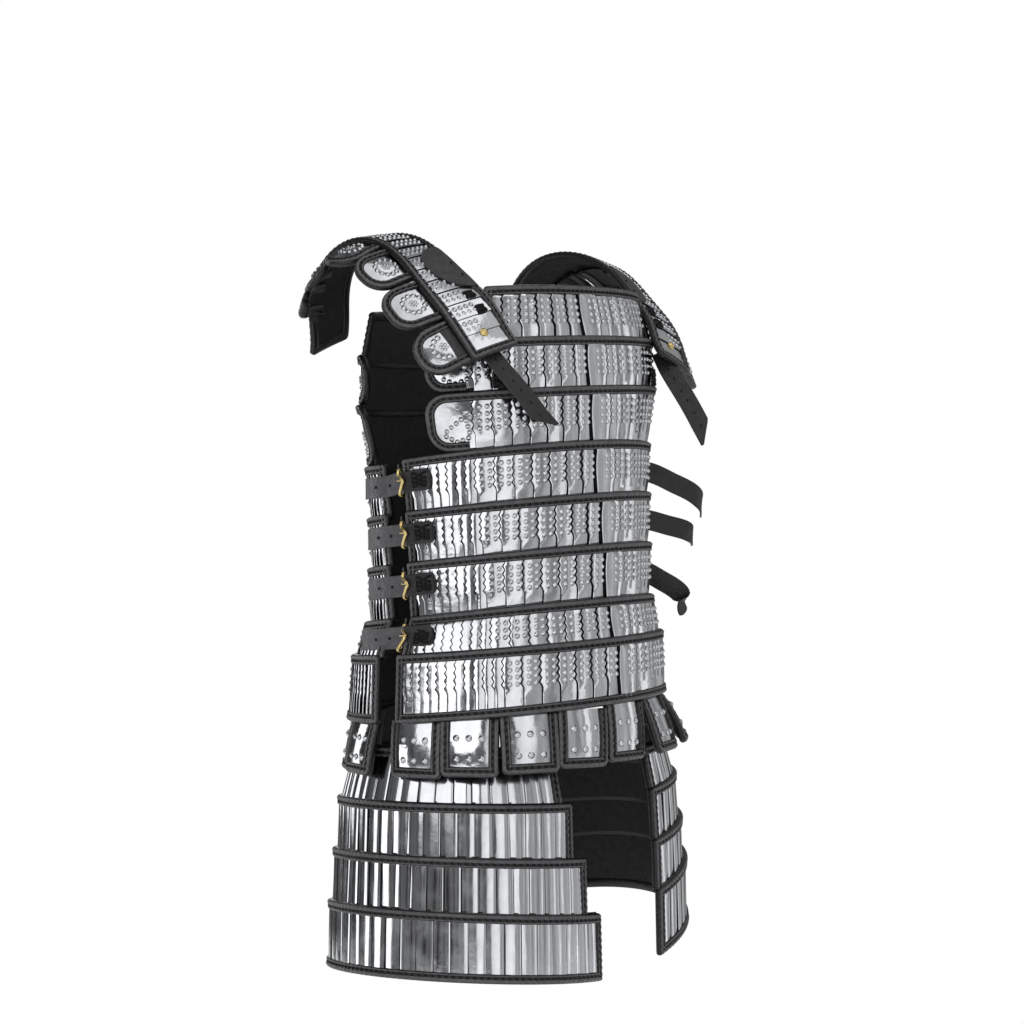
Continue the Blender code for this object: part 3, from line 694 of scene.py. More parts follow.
def buildBinding(wall, name, rounded, foot, down):
    # round the top and both ends, and along the foot too where the row has no row below it;
    # down is how far the top run lies below the wall's top edge
    left, right = wall["ends"]
    full = np.polyval(wall["height"], np.array([left, right]))
    ends = full + (0 if foot else bindingShape["past"])
    corners = [[left, ends[0]], [left, down], [right, down], [right, ends[1]]]
    if rounded:
        run = rounded + backingShape["roundRun"]  # along the foot, to where the next row is
        corners = [[left + run, full[0]], [left, full[0]], [left, down], [right, down],
                   [right, full[1]], [right - run, full[1]]]
    path = roundPath(corners, max(rounded, bindingShape["corner"]), bindingShape["step"],
                     closed=foot)
    sewBorder(name, wall["place"], path, bindingShape["rows"])


# which rows end in rounded plates, and how many degrees each row's middle plate is turned
bodyRows = dict(rounded=26 * mm, roundedRows=(2, 3),
                middles=(-0.6, -1.0, -1.3, -0.6, 0.9, 1.7, 2.0, 3.7))
walls = {}

for label, facing in (("breast", -1), ("back", 1)):
    below = None
    for number in range(8, 0, -1):
        node, last = f"{label}_row_{number}", number == 8
        rounded = bodyRows["rounded"] if number in bodyRows["roundedRows"] else 0.0
        turned = math.radians(bodyRows["middles"][number - 1]) if facing < 0 else 0.0
        wall = readWall(node, facing, (0.0, 0.0), turned, below, rounded > 0)
        buildLaminae(wall, node, laminaShape, rounded, last)
        buildBacking(wall, node, rounded, last)
        buildBinding(wall, node, rounded, last, bindingShape["rowTop"])
        walls[node] = below = wall
    report(f"{label} rows laid")

guardShape = dict(
    inMm(pitch=21, overlap=3.5, lift=1.3, fall=1.5, crown=1.2, wall=1.2, tilt=0.6, cover=6,
         rivets=10.5, rivetsDown=12.8, rivetsIn=4, rivetLift=1.6, hidden=6, hem=4,
         depths=(4, 8, 11), topIn=1.6, stretchFrom=14,
         drop=(0.8, 0.4, 0, 0, 0.3)),  # an edge falls away over these shares of the width
    dropAt=(0, 0.05, 0.12, 0.96, 1), rivetSize=0.62)


def ringMiddle(points):
    # the centre of the circle that fits x^2 + y^2 = 2ax + 2by + c best
    basis = np.stack([2 * points[:, 0], 2 * points[:, 1], np.ones(len(points))], axis=1)
    return np.linalg.lstsq(basis, (points[:, :2] ** 2).sum(axis=1), rcond=None)[0][:2]


def buildGuard(wall, node, shape, fromRight, last):
    # plain upright plates, each bowed a little, its edge towards the front over its neighbour:
    # the same height as a body plate's, with both of its edges eased down
    place, (left, right) = wall["place"], wall["ends"]
    first, finish, middle = left + shape["cover"], right - shape["cover"], 0.5 * (left + right)
    count = int(round((finish - first) / shape["pitch"]))
    pitch = (finish - first) / count
    deepest = np.polyval(wall["height"], middle) + (0 if last else shape["hidden"])
    share = np.array([0, 0.05, 0.12, 0.32, 0.55, 0.78, 0.96, 1.0])
    # the plates are straight but for their top, which the binding hides
    depths = np.append(shape["depths"], [0.5 * deepest,
                                         deepest - (shape["hem"] if last else 0)])
    reach = pitch * np.arange(count)[:, None, None] + share * (pitch + shape["overlap"])
    s = finish - reach if fromRight else first + reach
    s = np.clip(s, first, finish)
    # a third number is drawn for each plate and not used, which shifts later pieces' dice
    lean, sway, _ = dice.normal(0, shape["tilt"], (3, count, 1, 1))
    h = shape["lift"] - shape["fall"] * share + shape["crown"] * (1 - (2 * share - 1) ** 2) \
        - np.interp(share, shape["dropAt"], shape["drop"])
    h = h + lean * (share - 0.5) + sway * (depths[:, None] / deepest - 0.5)
    h = h - shape["topIn"] * (depths[:, None] == shape["depths"][0])
    d = stretched(wall, s, depths[:, None], deepest, shape["stretchFrom"], middle)
    # column 0, along the edge, and the rims take the painted gap shade
    addPiece(f"{node}_plates", [layGrid(place, s, d, h, (0,))], [sheetSteel, gapShadeEdge],
             "polished_steel", [node], shape["wall"])
    rivets = np.arange(first + shape["rivetsIn"], finish - shape["rivetsIn"], shape["rivets"])
    addPiece(f"{node}_rivets", [layBosses(place, rivets, shape["rivetsDown"],
                                          shape["rivetLift"], shape["rivetSize"])],
             bossFinishes, "polished_steel")
    buildBacking(wall, node, 0.0, last)
    buildBinding(wall, node, 0.0, last, bindingShape["guardTop"])


for side, turned in (("right", -80), ("left", 80)):
    below = None
    for letter in "dcba":
        node = f"thigh_guard_{side}_{letter}"
        middle = ringMiddle(nodeTriangles(node).reshape(-1, 3))
        below = readWall(node, -1, middle, math.radians(turned), below, False)
        buildGuard(below, node, guardShape, side == "right", letter == "d")
report("thigh guards hung")


def readPlate(triangles, reachHint, outHint, skip):
    # A small wall's own frame: a across, r along its reach from the hidden edge, h out of its
    # face, which is a quadratic of a and r. skip leaves out the part nearest the hidden edge.
    normal = np.cross(triangles[:, 1] - triangles[:, 0], triangles[:, 2] - triangles[:, 0])
    reachHint = unit(np.array(reachHint, float))
    depth = triangles @ reachHint
    # the outer face is within 70 degrees of the hint
    outer = (unit(normal) @ unit(np.array(outHint)) > 0.35) \
        & (depth.mean(axis=1) > depth.min() + skip)
    axis = unit(normal[outer].sum(axis=0))
    reach = unit(reachHint - axis * (reachHint @ axis))
    points = triangles[outer].reshape(-1, 3)
    top = points[points @ reach < (points @ reach).min() + 4 * mm]  # its hidden edge
    across = np.linalg.svd(top - top.mean(axis=0))[2][0]
    across = unit(across - axis * (across @ axis))
    downwards = np.cross(axis, across)
    reach = downwards * np.sign(downwards @ reach)
    across = np.cross(reach, axis)
    a, r, h = points @ across, points @ reach, points @ axis
    origin = across * (a.min() + a.max()) / 2 + reach * r.min() + axis * h.mean()
    a, r, h = ((points - origin) @ way for way in (across, reach, axis))

    def terms(a, r):
        return np.stack([np.ones_like(a), a, r, a * a, a * r, r * r], axis=-1)

    fit = np.linalg.lstsq(terms(a, r), h, rcond=None)[0]

    def place(a, r, h):
        a, r, h = np.broadcast_arrays(np.asarray(a, float), r, h)
        level = terms(a, r) @ fit
        slopeA, slopeR = fit[1] + 2 * fit[3] * a + fit[4] * r, fit[2] + fit[4] * a + 2 * fit[5] * r
        a, r, h, level, slopeA, slopeR = (v[..., None] for v in (a, r, h, level, slopeA, slopeR))
        face = unit(axis - across * slopeA - reach * slopeR)
        return origin + across * a + reach * r + axis * level + face * h

    return dict(place=place, half=(a.max() - a.min()) / 2, reach=r.max())


def outlineGrid(half, end, corner, inset):
    # a rectangle whose two far corners are rounded: its half width shrinks on a circle
    far = np.linspace(0, math.pi / 2, 6)
    start, arc = end - corner, corner - inset
    r = np.concatenate([np.linspace(0, start, 4)[:-1], start + arc * np.sin(far)])
    past = np.clip((r - start) / max(arc, 1e-6), 0, 1)
    wide = half - inset - arc * (1 - np.sqrt(np.maximum(1 - past ** 2, 0)))
    return (wide[:, None] * np.linspace(-1, 1, 9))[None], r[None, :, None]


# what every small plate has in common: its plate and the leather behind it
smallShape = inMm(lift=0.6, inset=5, wall=1.2, leatherInset=1.5, behind=0.8, leatherWall=1.5)
tassetShape = dict(
    inMm(corner=7, wider=2, crown=1.6, bossRows=(22, 46), bossColumns=(-15, 0, 15),
         drawnFor=66,  # the bosses' rows are laid out on this height
         hangers=14, strip=24),  # the hidden upper part of a breast and of a back one
    border=0.94, boss=1.3)


def buildSmallPlate(plate, name, shape, nodes, bosses):
    # its height is lift + crown * (1 - (a / half)^2) * sin(pi r / reach)
    place, half, reach = plate["place"], plate["half"], plate["reach"]
    common = smallShape

    def face(a, r):
        return common["lift"] + shape["crown"] * (1 - (a / half) ** 2) * np.sin(
            np.pi * np.clip(r / reach, 0, 1))

    a, r = outlineGrid(half, reach, shape["corner"], common["inset"])
    addPiece(f"{name}_plate", [layGrid(place, a, r, face(a, r))], plateFinishes,
             "polished_steel", nodes, common["wall"])
    a, r = outlineGrid(half, reach, shape["corner"], common["leatherInset"])
    leather = addPiece(f"{name}_backing", [layGrid(place, a, r, -common["behind"])],
                       [liningLeather], "black_leather", wall=common["leatherWall"])
    rim = half + shape["wider"]
    sewBorder(name, place, roundPath([[-rim, 0.0], [-rim, reach], [rim, reach], [rim, 0.0]],
                                     shape["corner"], bindingShape["step"]), shape["border"])
    a, r = bosses.T
    addPiece(f"{name}_bosses", [layBosses(place, a, r, face(a, r), shape["boss"])],
             bossFinishes, "polished_steel")


def buildTasset(triangles, name, nodes, skip):
    outward = triangles.reshape(-1, 3).mean(axis=0) * [1, 1, 0]
    plate = readPlate(triangles, (0, 0, -1), outward, skip)
    a, r = np.meshgrid(tassetShape["bossColumns"], tassetShape["bossRows"])
    bosses = np.stack([a.ravel(), r.ravel() * plate["reach"] / tassetShape["drawnFor"]], axis=1)
    buildSmallPlate(plate, name, tassetShape, nodes, bosses)


for number in range(1, 10):
    node = f"breast_tasset_{number}"
    buildTasset(nodeTriangles(node), node, [node], tassetShape["hangers"])
triangles = nodeTriangles("back_tassets")
# the seven hang from one strip: their triangles that reach below it are kept, and the lowest
# corner number, spread through each one's triangles, tells the seven from each other
centres = triangles.mean(axis=1)
turns = np.arctan2(centres[:, 0], centres[:, 1])
bins = np.round(turns / math.radians(8)).astype(int)
crest = np.array([[turns[bins == k].mean(), centres[bins == k, 2].max()] for k in set(bins)])
topLine = np.polyval(np.polyfit(*crest.T, 2), turns)
hanging = triangles[triangles[..., 2].min(axis=1) < topLine - tassetShape["strip"]]
corner = np.unique(np.round(hanging.reshape(-1, 3), 5), axis=0, return_inverse=True)[1]
corner = corner.reshape(-1, 3)
label = np.arange(corner.max() + 1)
for _ in range(60):
    lowest = label[corner].min(axis=1)
    for k in range(3):
        np.minimum.at(label, corner[:, k], lowest)
owner = label[corner[:, 0]]
for number, which in enumerate(np.unique(owner), 1):
    buildTasset(hanging[owner == which], f"back_tasset_{number}",
                ["back_tassets"] if number == 1 else [], -1.0)
report(f"{9 + number} hanging plates under the waist")

scallopShape = dict(
    inMm(corner=26, wider=0, crown=2, ring=13, ringAt=30,
         strip=(27, 8, 23),  # half its length, and from where to where
         stripWall=1.6, stripLift=2.6, bare=25, dotLift=0.4),
    border=0.85, boss=1.1, ringBosses=12, dots=0.3, dot=0.6)
ringTurn = np.arange(scallopShape["ringBosses"]) * 2 * np.pi / scallopShape["ringBosses"]
bossRing = np.stack([np.cos(ringTurn), np.sin(ringTurn)], axis=1) * scallopShape["ring"]
ringAt = np.array([0, scallopShape["ringAt"]])
cluster = np.vstack([bossRing[::2], [[0, 0]]]) * scallopShape["dots"] + ringAt
for side, sign in (("right", -1), ("left", 1)):
    for number in range(1, 7):
        node = f"shoulder_plate_{side}_{number}"
        plate = readPlate(nodeTriangles(node), (sign, 0, -0.35), (sign * 0.5, 0, 0.85), -1.0)
        banded = number in (1, 6)
        spots = bossRing + ringAt
        buildSmallPlate(plate, node, scallopShape, [node],
                        spots[spots[:, 1] > (scallopShape["bare"] if banded else 0)])
        addPiece(f"{node}_dots", [layBosses(plate["place"], *cluster.T,
                                            scallopShape["dotLift"] + scallopShape["crown"],
                                            scallopShape["dot"])], bossFinishes, "polished_steel")
        if banded:  # a strip of grey hide along the strap's edge
            half, start, end = scallopShape["strip"]
            strip = addPiece(f"{node}_strip", [layGrid(
                plate["place"], np.linspace(-half, half, 14)[None, None],
                np.linspace(start, end, 5)[None, :, None], scallopShape["stripLift"])],
                [patchLeather], "black_leather", wall=scallopShape["stripWall"])
report("rounded shoulder plates laid")

strapShape = dict(
    # the strap's width and crown, and the level axis that it is bent about
    inMm(width=70, crown=1.5, axis=(5, -115), leatherIn=1, leatherDown=0.5, leatherWall=2.5,
         corner=5, borderStep=2.5,
         # crosswise plates: the first two and the last, in from the ends and the sides
         pitch=21.6, plate=27, first=8, second=30, lastEnd=44, last=34, sides=6, tilt=0.3,
         lift=2.1, fall=1.6, plateWall=1.1,
         # bosses in two rows a plate, none on the neck side up to these places along and across
         bossesAlong=(6.5, 14.5), bossesAcross=np.arange(14, 64, 8), bossLift=1.5,
         bare=((90, 29), (50, 36)),
         rivet=(28, 36, 1.8), laces=(57, 80), lacesAcross=22, lace=13, laceLift=2.2,
         # the pad falls towards the middle of the strap, over this run
         padLift=4.7, padFall=1.4, padRun=45, padCrown=0.6, padWall=2, padWeld=0.02,
         stitches=((100, 8), (165, 8)), stitch=25, stitchRise=5,
         stitchRun=74.999,  # a hair short of three, so that there are two
         padOutline=[
             [88, 2], [94, 18], [103, 31], [114, 39], [127, 44], [141, 46], [152, 43],
             [161, 34], [166, 20], [166, 3], [150, 0.5], [127, 0], [105, 0.5]]),
    border=0.8, rivetSize=1.75, padFlat=(0.078, 0.046), padArea=0.0027)


def readBand(name):
    # the band's two edges, cut by half planes that turn about a level axis through the body
    triangles = nodeTriangles(name)
    sign = np.sign(triangles[..., 0].mean())
    # y forward as the facing axis, z up as the side axis, |x| as the height
    turned = np.stack([triangles[..., 2], triangles[..., 1], triangles[..., 0] * sign], axis=-1)
    middle = strapShape["axis"][::-1]
    points = turned.reshape(-1, 3)
    # the turn is 0 straight up and grows towards the back
    turn = np.arctan2(points[:, 1] - middle[1], points[:, 0] - middle[0])
    run = turn * 0.16  # about its length, at the band's radius in metres
    edges = []
    for neck in (1, -1):
        first = turn[np.argmin(run + neck * points[:, 2])]
        last = turn[np.argmin(neck * points[:, 2] - run)]
        angles = np.linspace(first + 0.012, last - 0.012, 70)
        line = []
        for angle in angles:
            cut = cutWall(turned, math.pi / 2 - angle, 1, middle)
            level = cut[0].min() + 0.3 * mm if neck > 0 else cut[1].max() - 0.3 * mm
            line.append((level, outermost(cut, level)))
        fine = np.linspace(first, last, 240)
        level, radius = (np.polyval(np.polyfit(angles, values, 9), fine)
                         for values in np.array(line).T)
        edge = np.stack([sign * level, middle[1] + radius * np.sin(fine),
                         middle[0] + radius * np.cos(fine)], axis=1)
        length = lengthAlong(edge)
        edges.append((lineAt(np.linspace(0, length[-1], 200), length, edge), length[-1]))
    (neck, neckLength), (arm, armLength) = edges
    total = 0.5 * (neckLength + armLength)
    along = unit(np.gradient(0.5 * (neck + arm), axis=0))
    face = unit(np.cross(along, arm - neck))
    face *= np.sign(face[100, 2])
    even = np.linspace(0, total, 200)

    def place(u, v, h):
        u, v, h = np.broadcast_arrays(np.asarray(u, float), v, h)
        share = (v / strapShape["width"])[..., None]
        inner, outer, up, way = (lineAt(u, even, line) for line in (neck, arm, face, along))
        over = (u - np.clip(u, 0, total))[..., None]
        crown = strapShape["crown"] * 4 * share * (1 - share)
        return inner + (outer - inner) * share + way * over + up * (crown + h[..., None])

    return place, total


# a strap's rounded flat section: share of the half width, and share of the thickness
ribbonSection = np.array([[-1, 0.0], [-0.97, 0.36], [-0.90, 0.5], [-0.8, 0.42], [0.8, 0.42],
                          [0.90, 0.5], [0.97, 0.36], [1, 0.0], [0.97, -0.36], [0.9, -0.5],
                          [-0.9, -0.5], [-0.97, -0.36]])


def layRibbon(line, across, width, wall, tip, slant):
    # a leather strap: the section carried along a line, its tip drawn in by 0.93 of its width;
    # slant 0 draws both sides in on arcs of 1 - sqrt(1 - t^2), slant 1 only one, and straight
    along = unit(np.gradient(line, axis=0))
    across = unit(across - along * (across * along).sum(axis=1, keepdims=True))
    face = np.cross(along, across)
    left = np.linalg.norm(line[-1] - line, axis=1)
    left[:len(line) // 2] = tip
    near = np.clip(1 - left / tip, 0, 1)[:, None]
    drawn = 0.93 * (near if slant else 1 - np.sqrt(1 - near ** 2))
    high = ribbonSection[:, 0] * width / 2
    high = np.where(high > 0, high - drawn * (high + 0.4 * slant * width),
                    high * (1 - drawn * (1 - slant)))
    flat, sets = sweep(line[:, None] + across[:, None] * high[..., None]
                       + face[:, None] * (ribbonSection[:, 1] * wall)[:, None])
    return flat, closedOut(flat, sets), 0


def layTube(line, radius, slot=0, closed=False, around=8):
    # a round section carried along a line; the section's first point keeps to one side
    along = unit(np.roll(line, -1, axis=0) - np.roll(line, 1, axis=0) if closed
                 else np.gradient(line, axis=0))
    side = unit(np.cross(along, [0.3, 0.2, 0.93]))
    other = np.cross(along, side)
    turn = (np.arange(around) * 2 * np.pi / around)[:, None]
    radius = np.broadcast_to(radius, len(line))[:, None, None]
    flat, sets = sweep(line[:, None] + radius * (side[:, None] * np.cos(turn)
                                                 + other[:, None] * np.sin(turn)), closed)
    return flat, closedOut(flat, sets), slot


def layHole(middle, way, radius):
    # a punched hole or slot: a dark spindle lying in the leather's face, painted shade in the
    # second finish
    reach = np.linspace(-1, 1, 7)
    return layTube(middle + way * 2.2 * mm * reach[:, None],
                   radius * np.sqrt(1 - (0.95 * reach) ** 2), 1, around=6)


def resample(points, count):
    # a smooth curve through the points (each run is a cubic), evenly spaced
    points = np.array(points, float)
    length = lengthAlong(points)
    slope = np.gradient(points, length, axis=0)
    t = np.linspace(0, length[-1], 400)
    k = np.clip(np.searchsorted(length, t, side="right") - 1, 0, len(points) - 2)
    span = (length[k + 1] - length[k])[:, None]
    f = (t - length[k])[:, None] / span
    fine = (2 * f ** 3 - 3 * f ** 2 + 1) * points[k] + (f ** 3 - 2 * f ** 2 + f) * span * slope[k] \
        + (3 * f ** 2 - 2 * f ** 3) * points[k + 1] + (f ** 3 - f ** 2) * span * slope[k + 1]
    length = lengthAlong(fine)
    return lineAt(np.linspace(0, length[-1], count), length, fine)


laceShape = dict(inMm(dome=1.3, rise=1.5, dip=1.2, over=0.3), rows=(-0.5, 0.1, 0.6), cross=0.45,
                 thick=0.085)  # of the pad's height
chestLaces = inMm(along=140.5, down=49, size=22, lift=4.6)


def layLacedPatch(place, u, v, wide, tall, h):
    # a small leather pad, as high as (1 - x^6)(1 - y^6), crossed by flat laces
    x, y = np.meshgrid(np.linspace(-1, 1, 9), np.linspace(-1, 1, 9), indexing="ij")
    corner = 1 - 0.12 * (x * y) ** 2
    dome = laceShape["dome"] * (1 - x ** 6) * (1 - y ** 6)
    parts = [layGrid(place, (u + wide / 2 * x * corner)[None], (v + tall / 2 * y * corner)[None],
                     (h + dome)[None])]
    t = np.linspace(-1, 1, 9)
    for row in laceShape["rows"]:
        for turn in (-1, 1):
            y = np.clip(row + laceShape["cross"] * turn * t, -0.85, 0.85)
            line = place(u + wide / 2 * 0.8 * t, v + tall / 2 * y,
                         h + laceShape["rise"] - laceShape["dip"] * np.abs(t) ** 4
                         + laceShape["over"] * turn)
            parts.append(layTube(line, laceShape["thick"] * tall, 1, around=6))
    return parts


def buildShoulderStrap(side):
    node = f"shoulder_strap_{side}"
    shape, (place, total) = strapShape, readBand(node)
    width = shape["width"]
    edge = shape["leatherIn"]
    leather = addPiece(f"{node}_backing", [layGrid(
        place, np.linspace(edge, total - edge, 70)[None, :, None],
        np.linspace(edge, width - edge, 5)[None, None], -shape["leatherDown"])],
        [liningLeather], "black_leather", [node], shape["leatherWall"])
    sewBorder(node, place, roundPath([[0, 0], [total, 0], [total, width], [0, width]],
                                     shape["corner"], shape["borderStep"], closed=True),
              shape["border"])
    # crosswise plates, each lying over the one towards the front, which it falls towards by a
    # straight slope; the first one is plain
    starts = np.concatenate([
        [shape["first"]], np.arange(shape["second"], total - shape["lastEnd"], shape["pitch"]),
        [total - shape["last"]]])
    share = np.array([0, 0.03, 0.35, 0.7, 1.0])[:, None]
    u = starts[:, None, None] + shape["plate"] * share
    v = np.linspace(shape["sides"], width - shape["sides"], 8)[None, None, :]
    lean = dice.normal(0, shape["tilt"], (len(starts), 1, 1))
    h = shape["lift"] - shape["fall"] * share + lean * (v / width - 0.5)
    addPiece(f"{node}_plates", [layGrid(place, u, v, h)], plateFinishes, "polished_steel",
             wall=shape["plateWall"])
    spots = np.stack(np.meshgrid((starts[1:-1, None] + shape["bossesAlong"]).ravel(),
                                 shape["bossesAcross"], indexing="ij"), axis=-1).reshape(-1, 2)
    for limits in shape["bare"]:
        spots = spots[(spots > limits).any(axis=1)]
    addPiece(f"{node}_bosses", [layBosses(place, *spots.T, shape["bossLift"])], bossFinishes,
             "polished_steel")
    addPiece(f"{node}_rivet", [layBosses(place, *shape["rivet"], shape["rivetSize"])],
             [brass, brass], "polished_steel")
    laces = [part for u in shape["laces"] for part in layLacedPatch(
        place, u, shape["lacesAcross"], shape["lace"], shape["lace"], shape["laceLift"])]
    addPiece(f"{node}_laces", laces, sewnFinishes, "black_leather")
    # a long round-ended pad of grey hide on the neck side, held by two stitches: rings from
    # its middle out to its outline
    rim = resample(shape["padOutline"], 40)
    rim = np.vstack([rim, rim[:1]])
    middle = rim.mean(axis=0)
    out = np.linspace(0, 1, 8)[:, None, None]
    u, v = np.moveaxis(middle + (rim - middle)[None] * out, -1, 0)
    h = shape["padLift"] - shape["padFall"] * np.clip(v / shape["padRun"], 0, 1) \
        + shape["padCrown"] * (1 - out[..., 0] ** 4)
    pad = addPiece(f"{node}_pad", [layGrid(place, u[None], v[None], h[None])], [patchLeather],
                   "black_leather", wall=shape["padWall"], weld=shape["padWeld"])
    run = shape["stitchRun"]
    row = dict(points=shape["stitches"], inward=np.zeros((2, 2)), length=np.array([0, run]),
               total=run)
    addPiece(f"{node}_stitches", [layThreads(place, row, dict(
        bindingShape, stitch=shape["stitch"], seam=0.0, threadRise=shape["stitchRise"]),
        slot=0)], [threadAndHoleShade], "black_leather")


for side in ("right", "left"):
    buildShoulderStrap(side)
for side, sign in (("right", -1), ("left", 1)):  # laced pads on the second row, by the straps
    laces = layLacedPatch(walls["breast_row_2"]["place"], sign * chestLaces["along"],
                          chestLaces["down"], chestLaces["size"], chestLaces["size"],
                          chestLaces["lift"])
    addPiece(f"breast_row_2_laces_{side}", laces, [bindingLeather, threadAndHoleShade], "black_leather")

tongueShape = dict(
    # past: how far it runs on beyond the first and the last of its slices
    inMm(width=24, wall=2.4, tip=26, slot=0.9, slices=(14, 10), past=(10, 11)),
    stations=30, slots=(6, 9, 13, 16, 20, 24), leftAcross=np.array([0.53, -0.57, 0.62]))


def buildTongue(side, shape):
    node = f"shoulder_tongue_{side}"
    triangles = nodeTriangles(node)
    top, bottom = triangles[..., 2].max(), triangles[..., 2].min()
    middles, edges = [], []
    for level in np.linspace(top - shape["slices"][0], bottom + shape["slices"][1], 9):
        # the middle and the direction of the slice at this level
        crossing, spots = crossEdges(triangles, triangles[..., 2] - level)
        centre = spots[crossing].mean(axis=0)
        way = np.linalg.svd(spots[crossing] - centre, full_matrices=False)[2][0]
        way = way * np.sign(way[0])
        reach = (spots[crossing] - centre) @ way
        middles.append(centre + way * (reach.min() + reach.max()) / 2)
        edges.append(way)
    middles = np.array(middles)
    start, end = (middles[a] + unit(middles[a] - middles[b]) * past
                  for a, b, past in ((0, 1, shape["past"][0]), (-1, -2, shape["past"][1])))
    line = resample(np.vstack([start, middles, end]), shape["stations"])
    across = -np.mean(edges, axis=0) if side == "right" else shape["leftAcross"]
    across = np.broadcast_to(across, line.shape)
    along = unit(np.gradient(line, axis=0))
    sideways = unit(across - along * (across * along).sum(axis=1, keepdims=True))
    face = np.cross(along, sideways)
    face *= -np.sign(face[:, 1:2])
    # the slots are painted shade: dark spindles in the thread's black
    slots = [layHole(line[k] + face[k] * shape["wall"] / 2, along[k], shape["slot"])
             for k in shape["slots"]]
    ribbon = addPiece(f"{node}_strap", [
        layRibbon(line, across, shape["width"], shape["wall"], shape["tip"], 1)] + slots,
        [strapLeather, threadAndHoleShade], "black_leather", [node])


for side in ("right", "left"):
    buildTongue(side, tongueShape)
report("shoulder straps laid")

sideStrapShape = dict(
    inMm(width=26, wall=2.4, frontLap=39, backLap=60, raised=4.8, patch=(24, 19), tip=7,
         freeTip=30, holes=(24, 52), hole=1.9, gap=2, patchAt=24, patchLift=0.6,
         # the tail's two bends, out from the breast panel's end
         bends=(30, 12),
         # the buckle lies back over the end, its front rises from low, and so does the prong
         buckle=(27, 30), wire=2.1, buckleBack=9, buckleRise=7.5, buckleLow=3.2, step=2,
         corners=(3, 6, 3, 7, 3), prong=1.3, prongDown=2, prongLow=1.6, prongRise=3.6,
         prongPast=1, keeperRise=9, keeperWire=0.9, keeperHalf=4, keeperGap=2),
    drop={4: 28, 5: 28, 6: 28, 7: 24.5},  # how far down each row its middle line lies, in mm
    away=(0.75, -0.66, 0.0),
    # the buckle's outline, straight behind and pointed in front
    outline=np.array([[-0.5, -0.5], [-0.1, -0.5], [0.5, -0.06], [0.12, 0.5], [-0.5, 0.5]]))


def buildSideStrap(side, number, shape):
    node = f"side_strap_{side}_{number}"
    front, behind = (walls[f"{label}_row_{number}"] for label in ("breast", "back"))
    drop, raised, wall = shape["drop"][number] * mm, shape["raised"], shape["wall"]
    which, sign = (0, 1) if side == "right" else (1, -1)
    end, free = front["ends"][which], side == "left" and number < 7

    def onFront(out, down, rise):
        # out from the breast panel's end, down from the strap's middle line, above the strap
        return front["place"](end + sign * out, drop + down, raised + rise)

    gap = shape["gap"]
    line = np.vstack([onFront(np.linspace(shape["frontLap"], gap, 8), 0, 0), behind["place"](
        behind["ends"][which] + sign * np.linspace(gap, shape["backLap"], 9), drop, raised)])
    if free:  # the tail bends outwards and hangs
        points = nodeTriangles(node).reshape(-1, 3)
        tip = points[points[:, 2] < points[:, 2].min() + 3 * mm].mean(axis=0) - line[0]
        far, near = unit(np.array(shape["away"])) * shape["bends"][:, None]
        line = np.vstack([line[0] + tip, line[0] + far + tip * 0.65,
                          line[0] + far + tip * 0.25, line[0] + near, line])
    line = resample(line, 90)[::-1]
    across = np.broadcast_to([0.0, 0.0, float(sign)], line.shape)
    laces = layLacedPatch(front["place"], end + sign * shape["patchAt"], drop,
                          *shape["patch"], raised + shape["patchLift"])
    # behind the buckle the strap is worn paler, and pierced
    points, (quads, caps), _ = layRibbon(line, across, shape["width"], wall,
                                         shape["freeTip" if free else "tip"], 0)
    run, stations = lengthAlong(line[::-1]), len(line) - 1
    origin = run[np.linalg.norm(line[::-1] - onFront(0, 0, 0), axis=1).argmin()]
    worn = np.arange(len(quads)) // len(ribbonSection) < stations - np.searchsorted(run, origin)
    holes = []
    # each hole is painted shade: a dark spindle in the thread's black
    for distance in shape["holes"]:
        k = stations - int(np.searchsorted(run, origin + distance))
        way = unit(line[k + 1] - line[k - 1])
        face = unit(np.cross(way, across[k])) * wall / 2
        face = face * np.sign(face @ (line[k] * [1, 1, 0]))
        holes.append(layHole(line[k] + face, way, shape["hole"]))
    ribbon = addPiece(f"{node}_leather", [(points, [quads[worn], quads[~worn], caps], [2, 0, 0]),
                                          *laces, *holes],
                      [strapLeather, threadAndHoleShade, wornLeather], "black_leather", [node])
    # the buckle at the breast panel's end: its front bar stands out, its rear bar lies under
    wide, back = shape["buckle"][0], shape["buckleBack"]
    out, down = roundPath(shape["outline"] * shape["buckle"], shape["corners"], shape["step"],
                          closed=True)["points"].T
    ring = onFront(out - back, down,
                   shape["buckleRise"] * (0.5 + out / wide) ** 0.8 - shape["buckleLow"])
    out = np.linspace(-0.1 * wide, wide / 2 + shape["prongPast"], 9)
    prong = onFront(out - back, -shape["prongDown"],
                    shape["prongLow"] + shape["prongRise"] * (0.5 + out / wide))
    addPiece(f"{node}_buckle", [layTube(ring, shape["wire"], closed=True),
                                layTube(prong, shape["prong"])], [brass], "polished_steel")
    # a wire keeper behind the buckle, its bow standing above the strap
    rise = shape["keeperRise"]
    out, down = (roundPath([[-4, 1], [-4, -1], [4, -1], [4, 1]], 0.9, 0.8)["points"]
                 * [shape["keeperHalf"] / 4, rise / 2]).T
    bow = onFront(out - wide / 2 - shape["keeperGap"], down - (shape["width"] + rise) / 2, 0)
    addPiece(f"{node}_keeper", [layTube(bow, shape["keeperWire"])], [wireSteel],
             "polished_steel")


for side in ("right", "left"):
    for number in sideStrapShape["drop"]:
        buildSideStrap(side, number, sideStrapShape)
report("side straps buckled")

